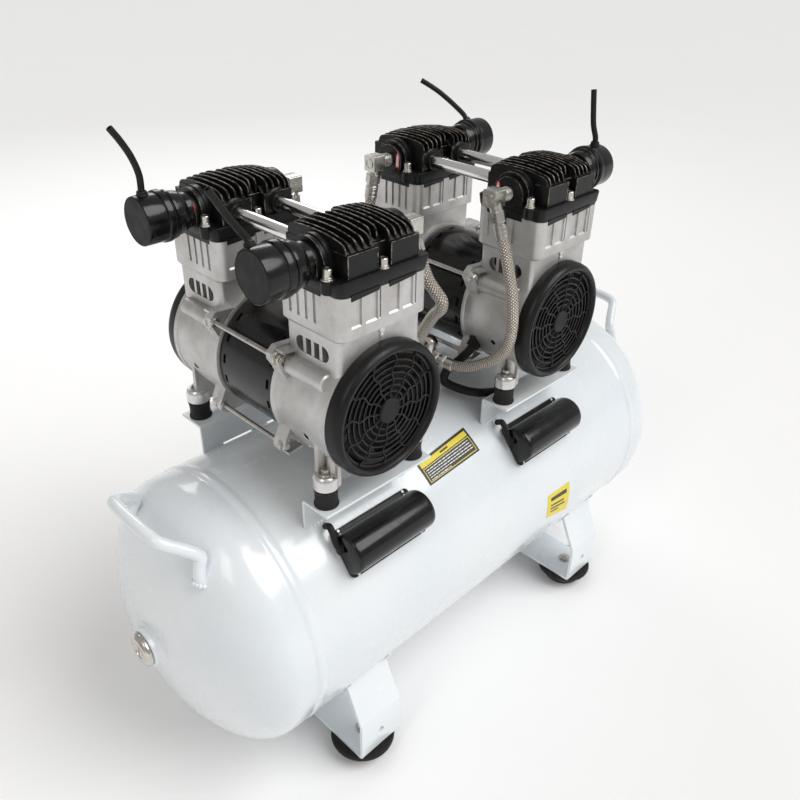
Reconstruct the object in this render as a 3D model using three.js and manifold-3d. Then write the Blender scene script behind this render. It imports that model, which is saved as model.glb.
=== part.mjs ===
// Two-pump oil-free air compressor on a horizontal 50 litre tank.
// Millimetres, +Z up. X runs along the tank, -Y is the front with the capacitor boxes and labels.
// The origin is at floor level, under the middle of the object's length and width.
import * as THREE from 'three';
import { mergeVertices } from 'three/addons/utils/BufferGeometryUtils.js';
import Module from 'manifold-3d';

const wasm = await Module();
wasm.setup();

// ---- driving dimensions --------------------------------------------------------------------
const GAP = 0.3;                  // clearance between neighbouring pieces
const CENTRE_X = 6.9;             // the end plug makes one end longer, so the tank sits off centre
const AXIS_Z = 208;               // tank axis above the floor

const TANK_R = 150;
const TANK_WALL = 3;
const SEAM_X = 279;               // weld seams between shell and dished ends
const FLANGE_LENGTH = 24;         // straight part of a dished end
const DISH_DEPTH = 72.5;
const DISH_POWER = 1.9;
const TANK_SIDES = 28;
const END_X = SEAM_X + FLANGE_LENGTH + DISH_DEPTH;

const UNIT_X = { near: -172.2, far: 89.6 };   // pump units along the tank, from its middle
const TURN = { near: 0, far: Math.PI };       // the far unit stands the other way round
const SHAFT_Z = 247;              // motor shaft above the tank axis
const HEAD_Y = 84.3;              // cylinder axis from the middle of a unit
const PORT_Z = 143;               // inlet and outlet ports above the shaft

const RAIL = { y: 87.2, width: 33, top: 158, bottom: 121, half: 69.4, sheet: 3 };
const MOUNT = { x: 55.8, y: 104.2, radius: 11.5, height: 19.4 };

const DRUM_R = 66;
const DRUM_WALL = 5;
const DRUM_INNER_Y = 42;
const DRUM_OUTER_Y = 118.2;
const BACK_WALL = 8;
const NECK = { x: 48.2, y: 34.2, bottom: 20, top: 81.7, slot: 6, slotPitch: 11 };
const BLOCK = { x: 50.3, y: 41, top: 120.4, corner: 9 };
const BORE_R = 30;
const TIE = { x: 62, z: 46, radius: 3 };

const HEAD = { x: 51.5, y: 41, corner: 5, base: 13, panelX: 38.5, panelY: 38, panelTop: 153.4, crest: 168 };
const FIN = { count: 12, pitch: 7, thick: 2.4, drop: 9, endSink: 4 };

// Top of a fin, from the side of the crossover pipes to the outer side: across the head, above the crest.
const FIN_TOP = [[36.5, -9], [33, -3.5], [22, -0.4], [4, 0], [-12, -0.8], [-23, -2.2], [-31.2, -4.6],
  [-33.4, -7.5], [-34.8, -12]];
const BOLT_POCKET = { half: 7.5, depth: 7 };
const PORT_BOSS = { radius: 14, end: 60 };

// Intake nipple of each air filter; turn is in degrees about the port's axis, towards the filter's -Y.
const NIPPLE = {
  x: -94, root: 18, tip: 26, radius: 4.5,
  turn: { near_filter_front: -30, near_filter_rear: 0, far_filter_front: 0, far_filter_rear: 40 },
};
const CROSSOVER = { x: 23.5, radius: 6.5, collar: 9.5, end: 43.2 };

const COVER = { radius: 66, front: 134.2, lip: 8, spokes: 12, hub: 12 };
const FAN = { radius: 56, blades: 7, front: 126, depth: 15 };
const SHAFT_R = 8;
const CORE_R = 38.5;

const STRAP = { x: 200, width: 58, sheet: 4, half: 150, bottom: -185, bend: -130 };
const BUNG = { out: 7, radius: 22, hole: 14 };
const PAD = { x: 202, y: 121, top: 37, bottom: 25 };
const VALVE = { x: 8, y: -12, radius: 10 };
const SWITCH = { x: 228, y: 0, blockBottom: 160, blockTop: 186, block: 17, housing: 27, height: 50 };
const PORT_LEVEL = (SWITCH.blockBottom + SWITCH.blockTop) / 2;
const LEVER_OUT = 22;             // outlet lever's pivot from the switch block's face

// Capacitor box: a flange on the tank, straight sides and a half-round back.
const CAPACITOR = {
  from: -51, to: 53, seat: 150.6, flange: 25, sheet: 3, half: 21, spring: 162, tilt: 50.5,
};

// ---- materials -----------------------------------------------------------------------------
const look = (color, roughness, metalness) =>
  new THREE.MeshStandardMaterial({ color, roughness, metalness, flatShading: true });
const paint = () => look(0xdfe6ea, 0.25, 0.1);
const castAluminium = () => look(0xb9b9b6, 0.45, 0.9);
const blackPaint = () => look(0x17171a, 0.35, 0.2);
const blackPlastic = () => look(0x101012, 0.4, 0);
const rubber = () => look(0x0d0d0e, 0.8, 0);
const chrome = () => look(0xd8d8d8, 0.12, 1);
const brass = () => look(0xb59a5a, 0.35, 1);
const steel = () => look(0x9c9a96, 0.35, 1);
const red = () => look(0xa51d1d, 0.4, 0);

// ---- solids --------------------------------------------------------------------------------
function signedVolume(position, index) {
  const a = new THREE.Vector3();
  const b = new THREE.Vector3();
  const c = new THREE.Vector3();
  let volume = 0;
  for (let i = 0; i < index.length; i += 3) {
    a.fromBufferAttribute(position, index[i]);
    b.fromBufferAttribute(position, index[i + 1]);
    c.fromBufferAttribute(position, index[i + 2]);
    volume += a.dot(b.cross(c)) / 6;
  }
  return volume;
}

// A closed three.js geometry becomes a solid, with its faces turned outward.
function solid(geometry) {
  const bare = geometry.clone();
  bare.deleteAttribute('normal');
  bare.deleteAttribute('uv');
  const merged = mergeVertices(bare, 1e-3);
  const source = merged.index.array;
  const kept = [];
  for (let i = 0; i < source.length; i += 3) {
    const [a, b, c] = [source[i], source[i + 1], source[i + 2]];
    if (a !== b && b !== c && c !== a) {
      kept.push(a, b, c);
    }
  }
  const inward = signedVolume(merged.attributes.position, kept) < 0;
  const triVerts = new Uint32Array(inward ? kept.reverse() : kept);
  const vertProperties = new Float32Array(merged.attributes.position.array);
  return new wasm.Manifold(new wasm.Mesh({ numProp: 3, vertProperties, triVerts }));
}

const join = (first, ...rest) => rest.reduce((whole, piece) => whole.add(piece), first);
const cut = (first, ...rest) => rest.reduce((whole, piece) => whole.subtract(piece), first);

function geometryOf(body) {
  const mesh = body.getMesh();
  const geometry = new THREE.BufferGeometry();
  geometry.setAttribute('position', new THREE.BufferAttribute(new Float32Array(mesh.vertProperties), 3));
  geometry.setIndex(new THREE.BufferAttribute(new Uint32Array(mesh.triVerts), 1));
  geometry.computeVertexNormals();
  return geometry;
}

function box(x0, x1, y0, y1, z0, z1) {
  const geometry = new THREE.BoxGeometry(Math.abs(x1 - x0), Math.abs(y1 - y0), Math.abs(z1 - z0));
  return solid(geometry.translate((x0 + x1) / 2, (y0 + y1) / 2, (z0 + z1) / 2));
}

// A round bar from one point to another.
function bar(from, to, radius, sides = 12, endRadius = radius) {
  const start = new THREE.Vector3(...from);
  const end = new THREE.Vector3(...to);
  const along = end.clone().sub(start);
  const geometry = new THREE.CylinderGeometry(endRadius, radius, along.length(), sides);
  const turn = new THREE.Quaternion().setFromUnitVectors(new THREE.Vector3(0, 1, 0), along.normalize());
  geometry.applyQuaternion(turn);
  return solid(geometry.translate(...start.add(end).multiplyScalar(0.5).toArray()));
}

// A profile of [radius, height] points turned about the X, Y or Z axis.
function turned(axis, profile, sides) {
  const points = profile.map(([radius, height]) => new THREE.Vector2(radius, height));
  const geometry = new THREE.LatheGeometry(points, sides);
  if (axis === 'x') {
    geometry.rotateZ(-Math.PI / 2);
  }
  if (axis === 'z') {
    geometry.rotateX(Math.PI / 2);
  }
  return solid(geometry);
}

// An outline of [across, up] points extruded along X, Y or Z between two stations.
function prism(axis, outline, from, to, holes = []) {
  const shape = new THREE.Shape(outline.map(([u, v]) => new THREE.Vector2(u, v)));
  shape.holes = holes;
  const geometry = new THREE.ExtrudeGeometry(shape, { depth: to - from, bevelEnabled: false });
  geometry.translate(0, 0, from);
  if (axis === 'x') {
    geometry.applyMatrix4(new THREE.Matrix4().set(0, 0, 1, 0, 1, 0, 0, 0, 0, 1, 0, 0, 0, 0, 0, 1));
  }
  if (axis === 'y') {
    geometry.applyMatrix4(new THREE.Matrix4().set(1, 0, 0, 0, 0, 0, 1, 0, 0, 1, 0, 0, 0, 0, 0, 1));
  }
  return solid(geometry);
}

function roundedOutline(halfX, halfY, corner, steps = 3) {
  const outline = [];
  const corners = [[1, 1, 0], [-1, 1, 1], [-1, -1, 2], [1, -1, 3]];
  for (const [sx, sy, quarter] of corners) {
    for (let i = 0; i <= steps; i += 1) {
      const angle = (quarter + i / steps) * Math.PI / 2;
      const x = sx * (halfX - corner) + corner * Math.cos(angle);
      const y = sy * (halfY - corner) + corner * Math.sin(angle);
      outline.push([x, y]);
    }
  }
  return outline;
}

// A round tube along a smooth curve through the given points.
function tube(points, radius, sides, steps) {
  const stops = points.map((point) => new THREE.Vector3(...point));
  const curve = new THREE.CatmullRomCurve3(stops, false, 'centripetal');
  const section = new THREE.Shape();
  for (let i = 0; i < sides; i += 1) {
    const angle = (i + 0.5) * 2 * Math.PI / sides;
    const spot = [radius * Math.cos(angle), radius * Math.sin(angle)];
    if (i === 0) {
      section.moveTo(...spot);
    } else {
      section.lineTo(...spot);
    }
  }
  section.closePath();
  return solid(new THREE.ExtrudeGeometry(section, { steps, bevelEnabled: false, extrudePath: curve }));
}

// ---- tank, rails and feet ------------------------------------------------------------------
// Half of the tank's outline, from the middle of one dished end to its seam side.
function dishPoints(radius, depth, steps) {
  const points = [];
  for (let i = 0; i <= steps; i += 1) {
    const angle = (i / steps) * Math.PI / 2;
    const across = radius * Math.sin(angle) ** (2 / DISH_POWER);
    const along = SEAM_X + FLANGE_LENGTH + depth * Math.cos(angle) ** (2 / DISH_POWER);
    points.push([i === 0 ? 0 : across, along]);
  }
  return points;
}

function tankBody(grow) {
  const end = dishPoints(TANK_R + grow, DISH_DEPTH + grow, 5);
  const otherEnd = end.map(([across, along]) => [across, -along]).reverse();
  return turned('x', [...end, ...otherEnd], TANK_SIDES);
}

function rail(centreX, side) {
  const inner = side * (RAIL.y - RAIL.sheet);
  const outer = side * RAIL.y;
  const lip = side * (RAIL.y + RAIL.width);
  const [x0, x1] = [centreX - RAIL.half, centreX + RAIL.half];
  const web = box(x0, x1, inner, outer, RAIL.bottom, RAIL.top);
  const flange = box(x0, x1, inner, lip, RAIL.top - RAIL.sheet, RAIL.top);
  const slitTop = RAIL.bottom + 5;
  const slit = box(centreX - 45, centreX + 45, inner - side, outer + side, RAIL.bottom - 1, slitTop);
  return join(cut(web, slit), flange);
}

function tank() {
  const bungs = [
    bar([-END_X + 6, 0, 0], [-END_X - BUNG.out, 0, 0], BUNG.radius, 16),
    bar([VALVE.x, VALVE.y, TANK_R - 4], [VALVE.x, VALVE.y, TANK_R + 6], 15),
    bar([SWITCH.x, SWITCH.y, TANK_R - 4], [SWITCH.x, SWITCH.y, TANK_R + 5], 13),
    bar([0, 0, -TANK_R + 4], [0, 0, -TANK_R - 6], 11),
  ];
  const ports = [
    bar([-END_X + 20, 0, 0], [-END_X - 20, 0, 0], BUNG.hole),
    bar([VALVE.x, VALVE.y, TANK_R - 20], [VALVE.x, VALVE.y, TANK_R + 20], 8.6),
    bar([SWITCH.x, SWITCH.y, TANK_R - 20], [SWITCH.x, SWITCH.y, TANK_R + 20], 7.6),
    bar([0, 0, -TANK_R + 20], [0, 0, -TANK_R - 20], 6.6),
  ];
  const rails = Object.values(UNIT_X).flatMap((x) => [rail(x, -1), rail(x, 1)]);
  const whole = join(tankBody(0), ...rails, ...bungs);
  return cut(whole, tankBody(-TANK_WALL), ...ports);
}

function strapOutline() {
  const { half, bottom, bend, sheet } = STRAP;
  const outer = [[half - 28, bend + 60], [half, bend], [half, bottom]];
  const inner = [[half - sheet, bottom + sheet], [half - sheet, bend - 1], [half - 28 - sheet, bend + 58]];
  const mirror = (points) => points.map(([y, z]) => [-y, z]).reverse();
  return [...outer, ...mirror(outer), ...mirror(inner), ...inner];
}

function foot() {
  const strap = prism('x', strapOutline(), -STRAP.width / 2, STRAP.width / 2);
  const tankRoom = bar([-STRAP.width, 0, 0], [STRAP.width, 0, 0], TANK_R + GAP + 0.05, TANK_SIDES);
  const holeZ = STRAP.bottom + 28;
  const sideHole = bar([0, -STRAP.half - 5, holeZ], [0, STRAP.half + 5, holeZ], 4, 8);
  const screwHoles = [-PAD.y, PAD.y].map((y) =>
    bar([PAD.x - STRAP.x, y, STRAP.bottom - 2], [PAD.x - STRAP.x, y, STRAP.bottom + 6], 4, 8));
  return cut(strap, tankRoom, sideHole, ...screwHoles);
}

function rubberFoot() {
  const top = STRAP.bottom - GAP;
  return turned('z', [[0, -AXIS_Z + 12], [9, -AXIS_Z + 12], [9, -AXIS_Z], [PAD.bottom, -AXIS_Z],
    [PAD.top, top - 5], [PAD.top, top], [0, top]], 20);
}

function handle() {
  const half = [[-340, 60, 100], [-343, 60.5, 109], [-341, 59, 121], [-337.5, 57, 130], [-341, 54.5, 135],
    [-351.5, 48.5, 143.5], [-362, 43, 151], [-367, 36, 155]];
  const otherHalf = half.map(([x, y, z]) => [x, -y, z]).reverse();
  const rod = tube([...half, ...otherHalf], 6, 8, 26);
  return cut(rod, tankBody(GAP + 0.1));
}

function endPlug() {
  const face = -END_X - BUNG.out - GAP;
  const shank = BUNG.hole - 1;
  return turned('x', [[0, face + 16], [shank, face + 16], [shank, face], [18, face], [18, face - 4],
    [15, face - 6.5], [0, face - 6.5]], 16);
}

// ---- air fittings --------------------------------------------------------------------------
const STUB_END = 22;
const STUBS = [
  { dir: [0, -1], z: 190 },
  { dir: [0, 1], z: 190 },
  { dir: [-1, 0], z: 200 },
  { dir: [-1, 0], z: 178 },
];

function checkValve() {
  const base = TANK_R + 6 + GAP;
  const body = turned('z', [[0, TANK_R - 8], [8, TANK_R - 8], [8, base], [13, base], [13, base + 10],
    [VALVE.radius, base + 10], [VALVE.radius, 211], [5, 214], [0, 214]], 12);
  const stubs = STUBS.map(({ dir, z }) => bar([0, 0, z], [dir[0] * STUB_END, dir[1] * STUB_END, z], 5, 8));
  return join(body, ...stubs);
}

function pressureSwitch() {
  const { blockBottom, blockTop, block, housing } = SWITCH;
  const stem = bar([0, 0, TANK_R - 6], [0, 0, blockBottom + 1], 7);
  const manifold = box(-block, block, -block, block, blockBottom, blockTop);
  const neck = bar([0, 0, blockTop - 1], [0, 0, blockTop + 6], 9);
  const top = blockTop + 5 + SWITCH.height;
  const shell = prism('z', roundedOutline(housing + 4, housing, 5, 2), blockTop + 5, top);
  const knobWell = bar([0, 0, top - 20], [0, 0, top + 5], 5);
  const reach = 2 * block;
  const socket = (x, y, radius) => bar([0, 0, PORT_LEVEL], [x * reach, y * reach, PORT_LEVEL], radius);
  const drilled = cut(manifold, socket(1, 0, 5.4), socket(0, 1, 6.4), socket(0, -1, 5.4));
  return cut(join(drilled, stem, neck, shell), knobWell);
}

function switchKnob() {
  const top = SWITCH.blockTop + 5 + SWITCH.height;
  return turned('z', [[0, top - 14], [4, top - 14], [4, top + 1], [11, top + 1], [12, top + 11],
    [9, top + 14], [0, top + 14]], 12);
}

function pressureGauge() {
  const face = SWITCH.block + GAP;
  return turned('x', [[0, face - 8], [5, face - 8], [5, face], [8, face], [8, face + 14.5], [19, face + 14.5],
    [19, face + 30], [0, face + 30]], 14);
}

function safetyValve() {
  const face = SWITCH.block + GAP;
  return turned('y', [[0, -face - 34], [4, -face - 34], [4, -face - 26], [8, -face - 26],
    [8, -face], [5, -face], [5, -face + 8], [0, -face + 8]], 8);
}

function outletValve() {
  const face = SWITCH.block + GAP;
  const body = turned('y', [[0, face - 8], [6, face - 8], [6, face], [9, face], [9, face + 10],
    [12, face + 12], [12, face + 32], [9, face + 34], [9, face + 44], [4, face + 44], [4, face + 50],
    [0, face + 50]], 12);
  return join(body, bar([0, face + LEVER_OUT, 0], [0, face + LEVER_OUT, 17], 6, 8));
}

function outletLever() {
  const lever = box(-8, 44, -6, 6, 17 + GAP, 20 + GAP);
  return join(lever, bar([0, 0, 19], [0, 0, 24], 5, 6));
}

function drainCock() {
  const seat = -TANK_R - 6 - GAP;
  const screw = turned('z', [[0, seat - 16], [5, seat - 16], [5, seat - 8], [9, seat - 8], [9, seat],
    [6, seat], [6, seat + 16], [0, seat + 16]], 10);
  return join(screw, box(-16, 16, -2, 2, seat - 20, seat - 9));
}

// ---- one pump and motor unit, about its shaft ----------------------------------------------
// The front half is drawn; the rear half is the same casting turned round.
function lug(sideX, sideZ) {
  const outline = [[sideX * 38, sideZ * 52], [sideX * 68, sideZ * 53], [sideX * 62, sideZ * 14]];
  return prism('y', outline, -DRUM_INNER_Y - BACK_WALL, -DRUM_INNER_Y);
}

function crankcaseFoot(sideX) {
  const mountTop = RAIL.top - SHAFT_Z + MOUNT.height + 2 * GAP;
  const x = sideX * MOUNT.x;
  const cupTop = [x, -MOUNT.y, mountTop + 14];
  const cup = bar([x, -MOUNT.y, mountTop], cupTop, MOUNT.radius, 10, MOUNT.radius - 1.5);
  const screw = bar([x, -MOUNT.y, mountTop + 13], [x, -MOUNT.y, mountTop + 19], 4, 6);
  const rib = box(sideX * 44, sideX * (MOUNT.x + 5), -MOUNT.y - 7, -MOUNT.y + 7, mountTop + 6, -28);
  return join(cup, screw, rib);
}

function crankcase() {
  const back = -DRUM_INNER_Y - BACK_WALL;
  const drum = bar([0, -DRUM_OUTER_Y, 0], [0, -DRUM_INNER_Y, 0], DRUM_R, 20);
  const neck = box(-NECK.x, NECK.x, -HEAD_Y - NECK.y + 1, -HEAD_Y + NECK.y, NECK.bottom, NECK.top + 1);
  const blockOutline = roundedOutline(BLOCK.x, BLOCK.y, BLOCK.corner, 2).map(([x, y]) => [x, y - HEAD_Y]);
  const block = prism('z', blockOutline, NECK.top, BLOCK.top);
  const channels = [-1, 1].map((side) =>
    bar([side * 52, back - 2, 38], [side * 52, -DRUM_OUTER_Y + 3, 38], 10, 8));
  const lugs = [[-1, 1], [1, 1], [-1, -1], [1, -1]].map(([sx, sz]) => lug(sx, sz));
  const outside = join(drum, neck, block, ...channels, ...lugs, crankcaseFoot(-1), crankcaseFoot(1));

  const room = bar([0, back, 0], [0, -DRUM_OUTER_Y - 5, 0], DRUM_R - DRUM_WALL, 20);
  const bearing = bar([0, 0, 0], [0, back - 1, 0], SHAFT_R + 2, 8);
  const bore = bar([0, -HEAD_Y, 0], [0, -HEAD_Y, BLOCK.top + 1], BORE_R, 12);
  const rodHoles = [[-1, 1], [1, 1], [-1, -1], [1, -1]].map(([sx, sz]) => {
    const [x, z] = [sx * TIE.x, sz * TIE.z];
    return bar([x, back - 1, z], [x, -DRUM_INNER_Y + 1, z], TIE.radius + GAP, 6);
  });
  const slots = [-1, 1].flatMap((side) => [-1.5, -0.5, 0.5, 1.5].map((step) => {
    const y = -HEAD_Y + step * NECK.slotPitch;
    return box(side * (NECK.x - 4), side * (NECK.x + 1), y - NECK.slot / 2, y + NECK.slot / 2, 55, 68);
  }));
  return cut(outside, room, bearing, bore, ...rodHoles, ...slots);
}

// A cooling fin across the head, standing on the side panels and rising in a shallow curve.
function finOutline(crest) {
  const bottom = BLOCK.top + GAP + HEAD.base - 1;
  const top = FIN_TOP.map(([y, rise]) => [y, crest + rise]);
  return [[top[top.length - 1][0], bottom], [top[0][0], bottom], ...top];
}

// The body under the fins: upright panels, then a chamfer up to the fins' roots.
function headCore() {
  const { panelX, panelY, panelTop, crest } = HEAD;
  const bottom = BLOCK.top + GAP + HEAD.base - 1;
  const root = crest - FIN.drop;
  const flat = panelY - FIN.drop;
  return prism('x', [[-panelY, bottom], [panelY, bottom], [panelY, panelTop], [flat, root], [-flat, root],
    [-panelY, panelTop]], -panelX, panelX);
}

function head() {
  const bottom = BLOCK.top + GAP;
  const base = prism('z', roundedOutline(HEAD.x, HEAD.y, HEAD.corner, 2), bottom, bottom + HEAD.base);
  const fins = [];
  for (let i = 0; i < FIN.count; i += 1) {
    const x = (i - (FIN.count - 1) / 2) * FIN.pitch;
    const crest = HEAD.crest - FIN.endSink * (x / HEAD.panelX) ** 2;
    fins.push(prism('x', finOutline(crest), x - FIN.thick / 2, x + FIN.thick / 2));
  }
  const { half, depth } = BOLT_POCKET;
  const notches = [-1, 1].map((side) =>
    box(-half, half, side * (HEAD.panelY - depth), side * (HEAD.panelY + 2), bottom + HEAD.base, HEAD.crest));
  const boss = bar([-PORT_BOSS.end, 0, PORT_Z], [PORT_BOSS.end, 0, PORT_Z], PORT_BOSS.radius, 8);
  const collars = [-1, 1].map((side) => bar([side * CROSSOVER.x, HEAD.panelY - 2, PORT_Z],
    [side * CROSSOVER.x, HEAD_Y - CROSSOVER.end - GAP, PORT_Z], CROSSOVER.collar, 8));
  const ports = [-1, 1].map((side) => bar([side * (PORT_BOSS.end - 8), 0, PORT_Z],
    [side * (PORT_BOSS.end + 2), 0, PORT_Z], 8, 8));
  return cut(join(base, headCore(), ...fins, boss, ...collars), ...notches, ...ports);
}

function fanCover() {
  const { radius, front, lip, hub, spokes } = COVER;
  const back = DRUM_OUTER_Y + GAP;
  const rim = turned('y', [[radius - 3.5, -back], [radius, -back], [radius - 1, -front + 3],
    [radius - 3, -front], [radius - lip, -front], [radius - lip, -front + 4],
    [radius - 3.5, -front + 4], [radius - 3.5, -back]], 24);
  const disc = bar([0, -front + 5.2, 0], [0, -front + 1.5, 0], hub, 12);
  const arms = [];
  for (let i = 0; i < spokes; i += 1) {
    const angle = (i + 0.25) * 2 * Math.PI / spokes;
    const arm = new THREE.BoxGeometry(radius - hub - 3, 2, 1.8);
    arm.translate(hub - 2 + (radius - hub - 3) / 2, -front + 2.6, 0);
    arms.push(solid(arm.rotateY(angle)));
  }
  return join(rim, disc, ...arms);
}

function fan(side) {
  const hubFront = side * FAN.front;
  const hubBack = side * (FAN.front - FAN.depth);
  const hub = bar([0, Math.min(hubFront, hubBack), 0], [0, Math.max(hubFront, hubBack), 0], 15, FAN.blades);
  const blades = [];
  for (let i = 0; i < FAN.blades; i += 1) {
    const blade = new THREE.BoxGeometry(FAN.radius - 12, 2, 20);
    blade.rotateX(side * 0.6);
    blade.translate(12 + (FAN.radius - 12) / 2, hubFront - side * (FAN.depth / 2), 0);
    blades.push(solid(blade.rotateY((i - 0.25) * 2 * Math.PI / FAN.blades)));
  }
  return join(hub, ...blades);
}

function rotor() {
  const shaft = bar([0, -FAN.front - 1, 0], [0, FAN.front + 1, 0], SHAFT_R, 8);
  const core = bar([0, -32, 0], [0, 32, 0], CORE_R, 16);
  const throws = [-1, 1].map((side) =>
    bar([0, side * (HEAD_Y - 7), side * 7], [0, side * (HEAD_Y + 7), side * 7], 19, 10));
  return join(shaft, core, ...throws, fan(-1), fan(1));
}

function stator() {
  const half = DRUM_INNER_Y - GAP;
  const outer = DRUM_R - 3;
  const inner = CORE_R + 1.5;
  return turned('y', [[inner, -half], [outer, -half], [outer, half], [inner, half], [inner, -half]], 20);
}

// The air filter hangs on the inlet port, which is on its +X side. Its nipple stands up from the
// shell and is turned about the port's axis by nippleTurn, towards -Y.
function filter(nippleTurn) {
  const port = -PORT_BOSS.end - GAP;
  const shell = turned('x', [[0, -103], [22, -103], [22, -82], [23.5, -81], [23.5, -77], [19, -76],
    [19, port], [7, port], [7, port + 7], [0, port + 7]], 14);
  const nipple = bar([NIPPLE.x, 0, NIPPLE.root], [NIPPLE.x, 0, NIPPLE.tip], NIPPLE.radius, 6);
  return join(shell, nipple.rotate([nippleTurn, 0, 0]));
}

function rubberMount() {
  const bottom = RAIL.top + GAP;
  const top = bottom + MOUNT.height;
  const { radius } = MOUNT;
  return turned('z', [[0, bottom], [radius, bottom], [radius + 0.8, (bottom + top) / 2], [radius, top],
    [0, top]], 12);
}

function capacitorBox() {
  const { seat, flange, sheet, half, spring } = CAPACITOR;
  const rim = seat + sheet;
  const outline = [[-flange, seat], [flange, seat], [flange, rim], [half, rim], [half, spring]];
  const steps = 8;
  for (let i = 1; i < steps; i += 1) {
    const angle = (i / steps) * Math.PI;
    outline.push([half * Math.cos(angle), spring + half * Math.sin(angle)]);
  }
  outline.push([-half, spring], [-half, rim], [-flange, rim]);
  return prism('x', outline, CAPACITOR.from, CAPACITOR.to);
}

// ---- hoses ---------------------------------------------------------------------------------
const ELBOW_X = { near: 69, far: 76.5 };   // the near elbows are screwed in further
const ELBOW_SIZE = [16, 16, 17];
const HOSE_R = 6;

// Upright square elbow on the outlet port, swivel nut, crimp ferrule, braided hose, far ferrule.
function hose(portX, elbow, route) {
  const [x, y, z] = elbow;
  const towardPort = Math.sign(portX - x);
  const first = new THREE.Vector3(...route[0]);
  const second = new THREE.Vector3(...route[1]);
  const out = second.clone().sub(first).normalize();
  const from = (distance) => first.clone().addScaledVector(out, distance).toArray();
  const body = new THREE.BoxGeometry(...ELBOW_SIZE);
  const stub = bar([x, y, z], [portX + towardPort * 7, y, z], 6.8, 8);
  const nut = bar(from(-8), from(12), 8, 6);
  const ferrule = bar(from(10), from(30), 7.6, 6);
  const last = new THREE.Vector3(...route[route.length - 1]);
  const before = new THREE.Vector3(...route[route.length - 2]);
  const inward = before.sub(last).normalize();
  const farFerrule = bar(last.toArray(), last.clone().addScaledVector(inward, 16).toArray(), 7.6, 6);
  const line = tube(route, HOSE_R, 8, 14);
  return join(solid(body.translate(x, y, z)), stub, nut, ferrule, line, farFerrule);
}

const PORT_HEIGHT = SHAFT_Z + PORT_Z;
const NEAR_ELBOW = UNIT_X.near + ELBOW_X.near;
const FAR_ELBOW = UNIT_X.far - ELBOW_X.far;
const STUB_TIP = STUB_END + GAP;
const HOSE_ROUTES = {
  near_hose_front: [[NEAR_ELBOW, -88, 379], [-102, -91.8, 366], [-100, -95, 357.8], [-96, -100.7, 341],
    [-91.5, -106.5, 330], [-87, -110.5, 320.5], [-84, -107.5, 311], [-81, -97, 300], [-78, -86, 285],
    [-72, -71, 264], [-64, -55, 242], [-48, -30, 214], [-30, -12.5, 200.3],
    [VALVE.x - STUB_TIP, VALVE.y, 200]],
  near_hose_rear: [[NEAR_ELBOW, 84.3, 379], [-102.5, 84.3, 358], [-98, 83, 332], [-90, 78, 300],
    [-83, 68, 268], [-74, 50, 232], [-62, 24, 198], [-46, -4, 181], [-30, -11.5, 178],
    [VALVE.x - STUB_TIP, VALVE.y, 178]],
  far_hose_front: [[FAR_ELBOW, -88.5, 379], [13.1, -95, 362], [12.8, -103, 343], [12.2, -110.3, 322.8],
    [11.6, -117, 303.5], [11, -121.5, 283], [10.5, -123, 261.5], [10, -119.4, 239.3],
    [9.5, -107.8, 222.8], [9, -86, 206], [8.5, -64, 194.5], [8, -46, 190],
    [VALVE.x, VALVE.y - STUB_TIP, 190]],
  far_hose_rear: [[FAR_ELBOW, 85.5, 379], [12, 88, 360], [10, 90.5, 330], [9, 92, 300],
    [8.5, 92, 268], [8, 84, 232], [8, 66, 204], [8, 42, 192], [8, 24, 190],
    [VALVE.x, VALVE.y + STUB_TIP, 190]],
};

// ---- intake snorkels -----------------------------------------------------------------------
const SNORKEL_R = 3;
const SNORKEL_ROUTES = {
  near_snorkel_front: [[-266.2, -71.05, 412.95], [-266.6, -69.7, 415.4], [-270.6, -68.4, 421],
    [-279.6, -68, 433.9], [-288.3, -68, 447.6], [-294.5, -68, 457.6]],
  near_snorkel_rear: [[-266.2, 84.3, 416.3], [-266.1, 84.3, 429.6], [-270.7, 84.3, 445.7],
    [-278.1, 84.3, 460.1], [-285.7, 84.3, 471.7]],
  far_snorkel_front: [[183.6, -84.3, 416.7], [183.6, -84, 420], [183.6, -79.4, 432.6],
    [183.6, -76.3, 450.7], [183.6, -73.9, 468.1]],
  far_snorkel_rear: [[183.6, 101.33, 410.3], [183.4, 104.2, 413.6], [178, 119.7, 425.9],
    [170, 133, 437.1], [162, 142.7, 444.8], [155, 151, 450.6]],
};

// ---- assembly ------------------------------------------------------------------------------
const compressor = new THREE.Group();
compressor.name = 'air_compressor';
const frame = new THREE.Group();
frame.position.set(CENTRE_X, 0, AXIS_Z);
compressor.add(frame);

function place(name, body, material, position = [0, 0, 0], rotation = [0, 0, 0]) {
  const mesh = new THREE.Mesh(geometryOf(body), material);
  mesh.name = name;
  mesh.position.set(...position);
  mesh.rotation.set(...rotation);
  frame.add(mesh);
}

const ENDS = [['near', -1], ['far', 1]];
const SIDES = [['front', -1, 0], ['rear', 1, Math.PI]];
const HANDS = [['left', -1], ['right', 1]];
const boxTilt = THREE.MathUtils.degToRad(CAPACITOR.tilt);

place('tank', tank(), paint());
for (const [end, signX] of ENDS) {
  place(`foot_${end}`, foot(), paint(), [signX * STRAP.x, 0, 0], [0, 0, signX > 0 ? 0 : Math.PI]);
  place(`handle_${end}`, handle(), paint(), [0, 0, 0], [0, 0, signX > 0 ? Math.PI : 0]);
  for (const [side, signY] of SIDES) {
    place(`rubber_foot_${end}_${side}`, rubberFoot(), rubber(), [signX * PAD.x, signY * PAD.y, 0]);
  }
}
place('end_plug', endPlug(), steel());
place('check_valve', checkValve(), steel(), [VALVE.x, VALVE.y, 0]);

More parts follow.
